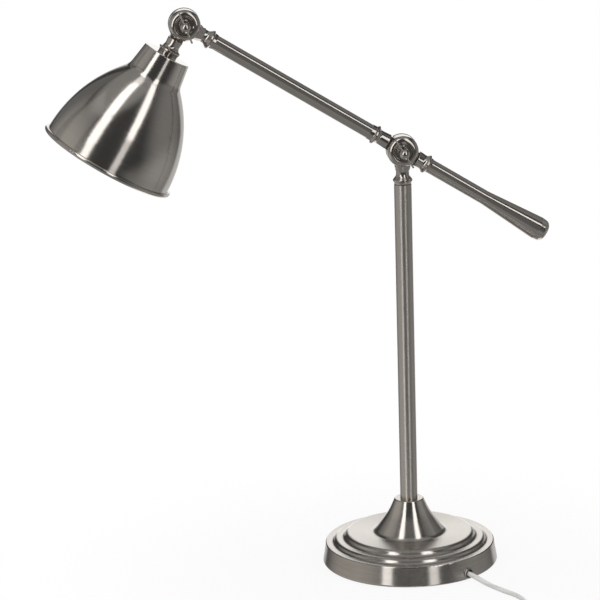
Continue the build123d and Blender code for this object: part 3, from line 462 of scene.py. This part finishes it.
def moulded_plastic(name, colour, rough=0.36, coat=0.15):
    """Moulded plastic: nearly one colour, a fine spark texture and faint flow clouds."""
    material, recipe, shader = new_finish(name)
    place = recipe.object_place()
    spark = recipe.noise(place, 2600.0, rough=0.6)
    cloud = recipe.noise(place, 70.0, detail=3.0, rough=0.55)
    dust = tinted(colour, (0.90, 0.885, 0.86))
    share = (cloud.swing(1.1) + 0.3).clamp()
    feed(recipe, shader, base_color=recipe.mix(share, colour, dust), coat_weight=coat,
         roughness=rough + spark.swing(0.14) + cloud.swing(0.08),
         normal=recipe.bump(spark, strength=0.2, distance=0.00004))
    return material


def way(around, above):
    """A direction, from its degrees round from the front and above the table."""
    a, b = math.radians(around), math.radians(above)
    return Vector((math.sin(a) * math.cos(b), -math.cos(a) * math.cos(b), math.sin(b)))


def axes(x, y, z):
    """The turn that lays a piece's own axes along three directions."""
    return Matrix((x, y, z)).transposed().to_4x4()


def clear_all():
    """Object mode with nothing selected, as each piece is started."""
    if bpy.context.object and bpy.context.object.mode != "OBJECT":
        bpy.ops.object.mode_set(mode="OBJECT")
    bpy.ops.object.select_all(action="DESELECT")


def pick_faces(piece, test):
    """Selects the faces, in edit mode, whose normals pass a test."""
    bpy.ops.object.mode_set(mode="OBJECT")
    for part in (piece.data.vertices, piece.data.edges, piece.data.polygons):
        part.foreach_set("select", [False] * len(part))
    for face in piece.data.polygons:
        face.select = test(face.normal)
    bpy.ops.object.mode_set(mode="EDIT")
    bpy.ops.mesh.select_mode(type="FACE")


def pick_top(piece):
    """Selects the faces, in edit mode, that look up."""
    pick_faces(piece, lambda normal: normal.z > FACING)


def start_block(name, size):
    """A block in edit mode, centred on the origin."""
    clear_all()
    bpy.ops.mesh.primitive_cube_add(size=1.0, location=(0, 0, 0))
    piece = bpy.context.object
    piece.name = piece.data.name = name
    bpy.ops.object.mode_set(mode="EDIT")
    bpy.ops.mesh.select_all(action="SELECT")
    bpy.ops.transform.resize(value=size)
    return piece


def use_modifier(piece, kind, **settings):
    """Adds a modifier to a piece and applies it."""
    bpy.ops.object.mode_set(mode="OBJECT")
    modifier = piece.modifiers.new(kind.title(), kind)
    for name, value in settings.items():
        setattr(modifier, name, value)
    bpy.context.view_layer.objects.active = piece
    bpy.ops.object.modifier_apply(modifier=modifier.name)


def end_piece(piece, place, material, body):
    """Sets a modelled piece in its place and gives it its finish and body."""
    bpy.ops.object.mode_set(mode="OBJECT")
    piece.data.transform(place)
    piece.data.update()
    piece.data.materials.clear()
    piece.data.materials.append(material)
    piece.select_set(True)
    bpy.context.view_layer.objects.active = piece
    bpy.ops.object.shade_smooth_by_angle(angle=math.radians(35))
    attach(piece, body)
    clear_all()


class LAMP_OT_spun_shells(bpy.types.Operator):
    """Base shell and handle weight in brushed nickel, with lines round their axes"""
    bl_idname = "lamp.spun_shells"
    bl_label = "Base and handle"

    def execute(self, context):
        base = nickel_plate("nickel_base", (0, 0, 0), NO_TURN, "Z", dull=0.04, streak=1.8, spread=0.9)
        dress(base, "base_shell")
        handle = nickel_plate("nickel_handle", ELBOW, ARM_TURN, "X", dull=-0.02, streak=0.3, arc=1.0)
        dress(handle, "handle_weight")
        return {"FINISHED"}


class LAMP_OT_shade(bpy.types.Operator):
    """Shade in brushed nickel outside and pale paint inside"""
    bl_idname = "lamp.shade"
    bl_label = "Shade"

    def execute(self, context):
        paint = tuple(context.scene.lamp_plastics.paint)
        material, recipe, metal = new_finish("nickel_shade")
        brush(recipe, metal, HEAD, SHADE_TURN, "Z", dull=-0.03)
        height, out, _, _ = turned_place(recipe, HEAD, SHADE_TURN, "Z")
        down = -height - CAP_TOP
        side, drop = out + BELL_ARC_IN, down - BELL_ARC_DOWN
        within_arc = ((side * side + drop * drop) ** 0.5).below(BELL_ARC_R)
        in_bell = within_arc * down.above(BELL_FROM) * down.below(BELL_TO)
        in_cap = (out - down * CAP_SLOPE).below(CAP_R) * down.above(CAP_FROM) * down.below(CAP_TO)
        place = recipe.object_place()
        speck = recipe.noise(place, 1500.0, rough=0.55)
        cloud = recipe.noise(place, 45.0, detail=3.0)
        coat = recipe.node("ShaderNodeBsdfPrincipled")
        aged = tinted(paint, (0.93, 0.915, 0.88))
        feed(recipe, coat, base_color=recipe.mix(cloud, paint, aged), roughness=0.44 + speck.swing(0.2),
             normal=recipe.bump(speck, strength=0.25, distance=0.00006))
        lay_over(recipe, metal, coat, in_bell.most(in_cap))
        dress(material, "shade")
        return {"FINISHED"}


class LAMP_OT_tubes(bpy.types.Operator):
    """Column brushed along its length and arm tube polished round"""
    bl_idname = "lamp.tubes"
    bl_label = "Tubes"

    def execute(self, context):
        column = nickel_plate("nickel_column", (0, 0, 0), NO_TURN, "Z", lines="long", dull=0.13, streak=0.3)
        dress(column, "column_tube")
        arm = nickel_plate("nickel_arm", ELBOW, ARM_TURN, "X", dull=-0.02, streak=0.3, arc=1.0)
        dress(arm, "arm_tube")
        return {"FINISHED"}


class LAMP_OT_knuckles(bpy.types.Operator):
    """Turned forks, eyes, clamp screws and bars, with rings round each pivot"""
    bl_idname = "lamp.knuckles"
    bl_label = "Knuckles"

    def execute(self, context):
        elbow = nickel_plate("nickel_elbow", ELBOW, NO_TURN, "Y", lines="rings", dull=-0.06, streak=0.02)
        dress(elbow, "elbow_fork", "arm_hub", "elbow_cap_nut", "elbow_screw")
        head = nickel_plate("nickel_head", HEAD, NO_TURN, "Y", lines="rings", dull=-0.06, streak=0.02)
        dress(head, "head_fork", "shade_stem", "head_cap_nut", "head_screw")
        bars = grained_metal("bar_steel", (0.58, 0.56, 0.53), (0.44, 0.42, 0.39), rough=0.2, grain=1400.0)
        dress(bars, "elbow_bar", "head_bar")
        fibre = moulded_plastic("dark_fibre", (0.045, 0.04, 0.036), rough=0.62, coat=0.0)
        dress(fibre, "slip_washer", "elbow_washers", "head_washers")
        return {"FINISHED"}


class LAMP_OT_inner_metal(bpy.types.Operator):
    """Ballast, plate, rods and nuts inside the lamp"""
    bl_idname = "lamp.inner_metal"
    bl_label = "Inner metal"

    def execute(self, context):
        zinc = grained_metal("zinc_plate", (0.56, 0.57, 0.58), (0.44, 0.45, 0.46), rough=0.34, grain=700.0,
                             relief=0.00002)
        dress(zinc, "base_plate", "plate_screws", "column_plug", "column_bush", "tie_rod", "tie_washer",
              "tie_nut", "swivel_nipple", "swivel_washer", "swivel_nut", "shade_nipple", "lock_nut")
        iron = grained_metal("cast_iron", (0.11, 0.108, 0.105), (0.06, 0.058, 0.056), rough=0.7, grain=420.0,
                             relief=0.0004, metallic=0.6)
        dress(iron, "base_ballast")
        return {"FINISHED"}


class LAMP_OT_felt(bpy.types.Operator):
    """Felt pad under the base"""
    bl_idname = "lamp.felt"
    bl_label = "Felt pad"

    def execute(self, context):
        material, recipe, shader = new_finish("black_felt")
        mat = recipe.noise(recipe.object_place(), 260.0, detail=4.0, rough=0.7)
        hair = recipe.noise(recipe.object_place((0, 0, 0), (0.4, 0.2, 0.9)), 1900.0, detail=3.0, rough=0.7)
        share = (mat * 0.6 + hair * 0.6 - 0.25).clamp()
        colour = recipe.mix(share, (0.022, 0.022, 0.023), (0.075, 0.074, 0.072))
        feed(recipe, shader, base_color=colour, roughness=0.94, sheen_weight=0.35,
             normal=recipe.bump(mat * 0.5 + hair, strength=0.8, distance=0.0005))
        dress(material, "base_pad")
        return {"FINISHED"}


class LAMP_OT_lampholder(bpy.types.Operator):
    """Lampholder and opal bulb inside the shade"""
    bl_idname = "lamp.lampholder"
    bl_label = "Lampholder and bulb"

    def execute(self, context):
        moulded = tuple(context.scene.lamp_plastics.moulded)
        dress(moulded_plastic("holder_plastic", moulded, rough=0.42), "holder_cap", "holder_body")
        brass = grained_metal("plated_brass", (0.66, 0.60, 0.47), (0.55, 0.47, 0.33), rough=0.26, grain=900.0)
        dress(brass, "holder_shell", "holder_contact")
        cap = grained_metal("bulb_cap_metal", (0.64, 0.63, 0.61), (0.52, 0.51, 0.48), rough=0.3, grain=800.0)
        dress(cap, "bulb_cap")
        material, recipe, shader = new_finish("opal_glass")
        place = recipe.object_place()
        cloud = recipe.noise(place, 60.0, detail=3.0)
        grain = recipe.noise(place, 2400.0, detail=1.0)
        feed(recipe, shader, base_color=recipe.mix(cloud, (0.84, 0.835, 0.81), (0.80, 0.79, 0.76)),
             roughness=0.26 + grain.swing(0.1), coat_weight=0.3, subsurface_weight=0.15,
             normal=recipe.bump(grain, strength=0.1, distance=0.00002))
        dress(material, "bulb_glass")
        return {"FINISHED"}


class LAMP_OT_wiring(bpy.types.Operator):
    """Wires, terminal block and cord grip inside the lamp, and the grommet in the rim"""
    bl_idname = "lamp.wiring"
    bl_label = "Wiring"

    def execute(self, context):
        sleeve = moulded_plastic("wire_sleeve", (0.74, 0.74, 0.71), rough=0.4)
        dress(sleeve, "column_wire", "arm_wire", "head_wire", "cord_inner")
        block = moulded_plastic("block_plastic", (0.70, 0.70, 0.67), rough=0.45)
        dress(block, "terminal_block", "cord_grip")
        material, recipe, ring = new_finish("nickel_grommet")
        brush(recipe, ring, CORD_EXIT, EXIT_TURN, "X", streak=0.3, dull=-0.04)
        _, out, _, _ = turned_place(recipe, CORD_EXIT, EXIT_TURN, "X")
        grain = recipe.noise(recipe.object_place(), 1800.0)
        # Painted shade: a near-black band round the bore stands in for the shade inside the hole round the
        # cord.
        bore_shade = recipe.node("ShaderNodeBsdfPrincipled")
        feed(recipe, bore_shade, base_color=(0.03, 0.029, 0.028), roughness=0.36 + grain.swing(0.12))
        lay_over(recipe, ring, bore_shade, 1.0 - out.rise(BORE_SHADE_R, BORE_SHADE_END_R))
        dress(material, "cord_grommet")
        return {"FINISHED"}


class LAMP_OT_cord(bpy.types.Operator):
    """Clear cord from the base, through the switch and the coil, to the plug"""
    bl_idname = "lamp.cord"
    bl_label = "Cord"

    def execute(self, context):
        sizes = context.scene.lamp_plastics
        lead = [
            (0.0433, -0.0642, 0.0080),
            (0.0552, -0.0819, 0.0080),
            (0.0695, -0.1012, TABLE_Z),
            (0.0830, -0.1246, TABLE_Z),
            (0.0987, -0.1466, TABLE_Z),
            (0.1039, -0.1710, TABLE_Z),
            (0.0987, -0.1955, TABLE_Z),
            (0.0840, -0.2157, TABLE_Z),
            (0.0634, -0.2281, TABLE_Z),
            (0.0417, -0.2315, SWITCH_Z),
            (0.0267, -0.2315, SWITCH_Z),
            (-0.0293, -0.2315, SWITCH_Z),
            (-0.0393, -0.2315, SWITCH_Z),
            (-0.0533, -0.2315, COIL_Z),
            (-0.0633, -0.2315, COIL_Z),
        ]
        tail = [
            (-0.0913, -0.2315, 0.00955),
            (-0.1163, -0.2429, 0.00605),
            (-0.1262, -0.2706, TABLE_Z),
            (-0.1209, -0.2991, 0.00335),
            (-0.1026, -0.3227, 0.00705),
            PLUG_START,
        ]
        points = lead + self.turns(sizes) + tail
        clear_all()
        curve = bpy.data.curves.new("cord", "CURVE")
        curve.dimensions = "3D"
        curve.bevel_depth = sizes.diameter / 2
        curve.bevel_resolution = 6
        curve.resolution_u = 8
        curve.use_fill_caps = True
        spline = curve.splines.new("NURBS")
        spline.points.add(len(points) - 1)
        for point, place in zip(spline.points, points):
            point.co = (*place, 1.0)
        spline.order_u = 3
        spline.use_endpoint_u = True
        cord = bpy.data.objects.new("cord", curve)
        context.scene.collection.objects.link(cord)
        curve.materials.append(self.finish(sizes))
        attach(cord, "base")
        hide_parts("cord_lead", "cord_link", "cord_coil", "cord_tail")
        return {"FINISHED"}

    def turns(self, sizes):
        """Points round the coil: in on the table, up one layer in half a turn, and out again on top."""
        inner = sizes.coil_radius - sizes.layer * sizes.quarters / 4
        points = []
        # The first two steps and the last one are left to the lead and the tail.
        for step in range(2, (2 * sizes.quarters + 2) * COIL_STEPS - 1):
            quarter = step / COIL_STEPS
            if quarter <= sizes.quarters:
                radius, height = sizes.coil_radius - sizes.layer * quarter / 4, COIL_Z
            elif quarter < sizes.quarters + 2:
                climb = (quarter - sizes.quarters) / 2
                radius = inner - sizes.layer / 4 * math.sin(math.pi * climb)
                height = COIL_Z + sizes.layer * climb * climb * (3 - 2 * climb)
            else:
                radius = inner + sizes.layer * (quarter - sizes.quarters - 2) / 4
                height = COIL_Z + sizes.layer
            radius *= COIL_SPREAD
            turn = math.pi / 2 * quarter
            x = COIL_MID[0] - radius * math.sin(turn)
            y = COIL_MID[1] + radius * math.cos(turn)
            points.append((x, y, height))
        return points

    def finish(self, sizes):
        """Clear plastic with two pale cores that twist round each other inside it."""
        material, recipe, shader = new_finish("clear_cord")
        place = recipe.object_place()
        cloud = recipe.noise(place, 150.0, detail=3.0)
        spark = recipe.noise(place, 1800.0)
        along, around, _ = recipe.split(recipe.get("ShaderNodeTexCoord", "UV"))
        angle = along * TWIST_ALONG + around * TWIST_AROUND
        twist = recipe.get("ShaderNodeMath", 0, {"operation": "SINE"}, {0: angle})
        core = (twist * 0.5 + 0.5) ** 2.0
        pale = tuple(sizes.cord)
        deep = tinted(pale, (0.80, 0.80, 0.78))
        colour = recipe.mix((core * 0.55 + cloud.swing(0.4)).clamp(), pale, deep)
        feed(recipe, shader, base_color=colour, roughness=0.24 + spark.swing(0.12), coat_weight=0.5,
             normal=recipe.bump(spark, strength=0.12, distance=0.00003))
        return material


class LAMP_OT_cord_fittings(bpy.types.Operator):
    """Switch, its marks, plug, grip ribs and the tie round the coil"""
    bl_idname = "lamp.cord_fittings"
    bl_label = "Cord fittings"

    def execute(self, context):
        moulded = tuple(context.scene.lamp_plastics.moulded)
        shell = moulded_plastic("switch_plastic", moulded)
        dress(shell, "switch_case", "switch_lid", "plug_body")
        key = moulded_plastic("rocker_plastic", (0.72, 0.72, 0.70), rough=0.28, coat=0.35)
        dress(key, "switch_rocker")
        pins = grained_metal("pin_metal", (0.66, 0.63, 0.56), (0.54, 0.50, 0.42), rough=0.24, grain=900.0)
        dress(pins, "plug_pins")
        self.marks()
        self.ribs(shell)
        self.tie()
        return {"FINISHED"}

    def marks(self):
        """A bar and a ring on the rocker's two ends."""
        ink = moulded_plastic("mark_ink", (0.10, 0.10, 0.10), rough=0.5, coat=0.0)
        turn = axes((-1, 0, 0), (0, -1, 0), (0, 0, 1)) @ Matrix.Rotation(ROCKER_TIP, 4, "Y")
        top = Matrix.Translation(ROCKER_PIVOT) @ turn
        bar = start_block("mark_bar", BAR_SIZE)
        use_modifier(bar, "BEVEL", width=BAR_EDGE, segments=2)
        end_piece(bar, top @ Matrix.Translation((-MARK_AT, 0, MARK_UP)), ink, "rocker")
        clear_all()
        bpy.ops.mesh.primitive_torus_add(major_radius=RING_R, minor_radius=RING_WIRE_R, major_segments=40,
                                         minor_segments=10, location=(0, 0, 0))
        ring = bpy.context.object
        ring.name = ring.data.name = "mark_ring"
        bpy.ops.object.mode_set(mode="EDIT")
        bpy.ops.mesh.select_all(action="SELECT")
        bpy.ops.transform.resize(value=RING_SHAPE)
        end_piece(ring, top @ Matrix.Translation((MARK_AT, 0, MARK_UP)), ink, "rocker")

    def ribs(self, material):
        """Finger ribs across the top of the plug."""
        forward = Vector(PLUG_WAY).normalized()
        turn = axes(forward, (-forward.y, forward.x, 0), (0, 0, 1))
        for number in range(RIB_COUNT):
            rib = start_block(f"plug_rib_{number + 1}", RIB_SIZE)
            pick_top(rib)
            bpy.ops.transform.resize(value=RIB_TAPER)
            use_modifier(rib, "BEVEL", width=RIB_EDGE, segments=3)
            along = Vector(PLUG_START) + forward * (RIB_START + RIB_PITCH * number)
            place = Matrix.Translation((along.x, along.y, PLUG_TOP)) @ turn
            end_piece(rib, place, material, "base")

    def tie(self):
        """A strap round the coil's turns, with rounded corners and a small keeper."""
        low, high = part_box("coil_tie")
        middle = (low + high) / 2
        size = high - low
        strap = start_block("tie_strap", (size.x, size.y - STRAP_THICK, size.z - STRAP_THICK))
        pick_faces(strap, lambda normal: abs(normal.x) > FACING)
        bpy.ops.mesh.delete(type="FACE")
        bpy.ops.mesh.select_mode(type="EDGE")
        bpy.ops.object.mode_set(mode="OBJECT")
        for edge in strap.data.edges:
            start, end = [strap.data.vertices[i].co for i in edge.vertices]
            edge.select = abs(start.x - end.x) > size.x / 2
        bpy.ops.object.mode_set(mode="EDIT")
        bpy.ops.mesh.bevel(offset=STRAP_CORNER, segments=5, affect="EDGES")
        use_modifier(strap, "SOLIDIFY", thickness=STRAP_THICK, offset=0.0)
        use_modifier(strap, "BEVEL", width=STRAP_EDGE, segments=2)
        dark = moulded_plastic("tie_plastic", (0.16, 0.16, 0.165), rough=0.55, coat=0.0)
        end_piece(strap, Matrix.Translation(middle), dark, "base")
        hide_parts("coil_tie")
        keeper = start_block("tie_keeper", KEEPER_SIZE)
        pick_top(keeper)
        bpy.ops.mesh.inset(thickness=KEEPER_FRAME)
        bpy.ops.transform.translate(value=(0, 0, -KEEPER_DIP))
        use_modifier(keeper, "BEVEL", width=KEEPER_EDGE, segments=3)
        place = Matrix.Translation((middle.x, middle.y, high.z - KEEPER_SUNK))
        end_piece(keeper, place, dark, "base")


class LAMP_OT_studio(bpy.types.Operator):
    """Floor, light, surroundings and camera"""
    bl_idname = "lamp.studio"
    bl_label = "Studio"

    def execute(self, context):
        studio = context.scene.lamp_studio
        context.scene.view_settings.view_transform = "Standard"
        self.floor(studio)
        self.soft_lamps(context, studio)
        self.strip_lights(context, studio)
        self.surroundings(context, studio)
        self.camera(context)
        return {"FINISHED"}

    def floor(self, studio):
        """A floor that looks white, with only the lamp's contact shading on it."""
        floor = start_block("floor", FLOOR_SIZE)
        pick_top(floor)
        bpy.ops.mesh.inset(thickness=FLOOR_FRAME)
        bpy.ops.object.mode_set(mode="OBJECT")
        floor.data.transform(Matrix.Translation(FLOOR_MID))
        material, recipe, shader = new_finish("pale_floor")
        cloud = recipe.noise(recipe.object_place(), 30.0, detail=3.0)
        colour = tuple(studio.floor)
        grey = tinted(colour, (0.97, 0.97, 0.97))
        feed(recipe, shader, base_color=recipe.mix(cloud, colour, grey), roughness=0.7,
             specular_ior_level=0.1)
        glow = recipe.node("ShaderNodeEmission", None, {"Color": (1, 1, 1, 1), "Strength": 1.0})
        camera, glossy, through = recipe.rays()
        x, y, _ = recipe.split(recipe.object_place(SHADING_MID))
        away = ((x * x + y * y) ** 0.5).rise(SHADING_R, SHADING_END_R)
        seen = camera.most(glossy).most(through)
        lay_over(recipe, shader, glow, seen * (FLOOR_GLOW + away * (1.0 - FLOOR_GLOW)))
        floor.data.materials.append(material)
        floor.visible_glossy = floor.visible_shadow = False
        clear_all()

    def area_lamp(self, context, name, shape, width, length, power):
        """An area lamp, still at the origin."""
        lamp = bpy.data.lights.new(name, "AREA")
        lamp.shape = shape
        lamp.size, lamp.size_y = width, length
        lamp.energy = power
        holder = bpy.data.objects.new(name, lamp)
        context.scene.collection.objects.link(holder)
        return holder

    def soft_lamps(self, context, studio):
        """Round lamps that light the matt pieces and that no metal mirrors."""
        for name, (place, width, share) in SOFT_LAMPS.items():
            holder = self.area_lamp(context, name, "DISK", width, width, studio.key * share)
            holder.location = place
            aim = Vector(SOFT_AIM) - Vector(place)
            holder.rotation_euler = aim.to_track_quat("-Z", "Y").to_euler()
            holder.visible_glossy = False

    def strip_lights(self, context, studio):
        """Long soft boxes that only the metal mirrors, each linked to its own group of pieces."""
        mirrors = dict(MIRRORS)
        taken = [name for names, _ in MIRRORS.values() for name in names]
        mirrors["knuckles"] = ([name for name in NODES if name not in taken], KNUCKLES_MID)
        for name, (group, first, last, width, level) in STRIPS.items():
            names, centre = mirrors[group]
            seen_from = Vector(centre)
            low, high = [seen_from + way(*end) * STRIP_REACH for end in (first, last)]
            length = (high - low).length
            power = level * studio.strip * math.pi * width * length
            holder = self.area_lamp(context, name, "RECTANGLE", width, length, power)
            middle = (low + high) / 2
            long = (high - low).normalized()
            out = middle - seen_from
            out = (out - long * out.dot(long)).normalized()
            holder.matrix_world = Matrix.Translation(middle) @ axes(long.cross(out), long, out)
            holder.visible_camera = holder.visible_diffuse = holder.visible_transmission = False
            lit = bpy.data.collections.new(name)
            for piece in names:
                lit.objects.link(NODES[piece])
            holder.light_linking.receiver_collection = lit

    def surroundings(self, context, studio):
        """White for the camera, even light for matt pieces, and a dim room for the metal to mirror."""
        world = bpy.data.worlds.new("studio")
        context.scene.world = world
        world.use_nodes = True
        recipe = Recipe(world.node_tree)
        x, y, z = recipe.split(recipe.get("ShaderNodeTexCoord", "Generated"))
        # Bright parts behind the lamp, which its edges mirror: low down at each side, and straight back.
        back_left = (y + x * 0.2 - z * 0.5).rise(0.90, 0.99)
        back_right = (y + x * 0.65).rise(1.115, 1.165)
        back_sides = back_left.most(back_right) * (1.0 - z.rise(0.02, 0.14))
        narrow = 1.0 - abs(x - 0.11).rise(0.16, 0.30)
        straight_back = narrow * y.above(0.0) * (1.0 - z.rise(0.42, 0.70))
        behind = back_sides.most(straight_back)
        # The dim room: a wall on each side, the ceiling and the ground.
        left_side = (-x).rise(0.45, 0.95)
        walls = ROOM_LEVEL + left_side * LEFT_LEVEL + x.rise(0.62, 1.0) * RIGHT_LEVEL
        walls = walls + z.rise(0.72, 0.86) * CEILING_LEVEL + (-z).rise(0.15, 0.50) * GROUND_LEVEL
        tone = walls * (1.0 - behind) + (back_sides * BACK_SIDE_LEVEL).most(straight_back * BACK_LEVEL)
        camera, glossy, through = recipe.rays()
        white = camera.most(through)
        level = white + (1.0 - white) * (glossy * tone + (1.0 - glossy) * studio.sky)
        colour = recipe.mix(left_side * glossy * (1.0 - white), PLAIN_LIGHT, WARM_LIGHT)
        light = recipe.node("ShaderNodeBackground", None, {"Color": colour, "Strength": level})
        out = recipe.node("ShaderNodeOutputWorld")
        recipe.tree.links.new(light.outputs[0], out.inputs[0])

    def camera(self, context):
        """A camera with a long lens, in front of the lamp and a little above it."""
        roll = math.radians(CAMERA_ROLL)
        back = way(CAMERA_AROUND, CAMERA_ABOVE)
        right = (-back).cross(Vector((0, 0, 1))).normalized()
        up = right.cross(-back)
        turned_right = right * math.cos(roll) + up * math.sin(roll)
        turned_up = up * math.cos(roll) - right * math.sin(roll)
        eye = bpy.data.cameras.new("camera")
        eye.sensor_width = CAMERA_SENSOR
        eye.lens = CAMERA_LENS
        eye.clip_end = CAMERA_FAR
        holder = bpy.data.objects.new("camera", eye)
        context.scene.collection.objects.link(holder)
        place = Vector(CAMERA_AIM) + back * CAMERA_DISTANCE
        holder.matrix_world = Matrix.Translation(place) @ axes(turned_right, turned_up, back)
        context.scene.camera = holder


class LAMP_PT_panel(bpy.types.Panel):
    """The lamp's steps in the sidebar"""
    bl_idname = "LAMP_PT_panel"
    bl_label = "Swing arm desk lamp"
    bl_space_type = "VIEW_3D"
    bl_region_type = "UI"
    bl_category = "Lamp"

    def draw(self, context):
        for name, kind in GROUPS.items():
            box = self.layout.box()
            for value in kind.__annotations__:
                box.prop(getattr(context.scene, name), value)
        for step in STEPS:
            self.layout.operator(step.bl_idname)


STEPS = (
    LAMP_OT_spun_shells,
    LAMP_OT_shade,
    LAMP_OT_tubes,
    LAMP_OT_knuckles,
    LAMP_OT_inner_metal,
    LAMP_OT_felt,
    LAMP_OT_lampholder,
    LAMP_OT_wiring,
    LAMP_OT_cord,
    LAMP_OT_cord_fittings,
    LAMP_OT_studio,
)
GROUPS = {"lamp_metal": LampMetal, "lamp_plastics": LampPlastics, "lamp_studio": LampStudio}


def register():
    for kind in (*GROUPS.values(), *STEPS, LAMP_PT_panel):
        bpy.utils.register_class(kind)
    for name, kind in GROUPS.items():
        setattr(bpy.types.Scene, name, PointerProperty(type=kind))


def unregister():
    for name in GROUPS:
        delattr(bpy.types.Scene, name)
    for kind in (LAMP_PT_panel, *reversed(STEPS), *GROUPS.values()):
        bpy.utils.unregister_class(kind)


def main():
    register()
    bpy.ops.lamp.spun_shells()
    bpy.ops.lamp.shade()
    bpy.ops.lamp.tubes()
    bpy.ops.lamp.knuckles()
    bpy.ops.lamp.inner_metal()
    bpy.ops.lamp.felt()
    bpy.ops.lamp.lampholder()
    bpy.ops.lamp.wiring()
    bpy.ops.lamp.cord()
    bpy.ops.lamp.cord_fittings()
    bpy.ops.lamp.studio()


if __name__ == "__main__":
    main()
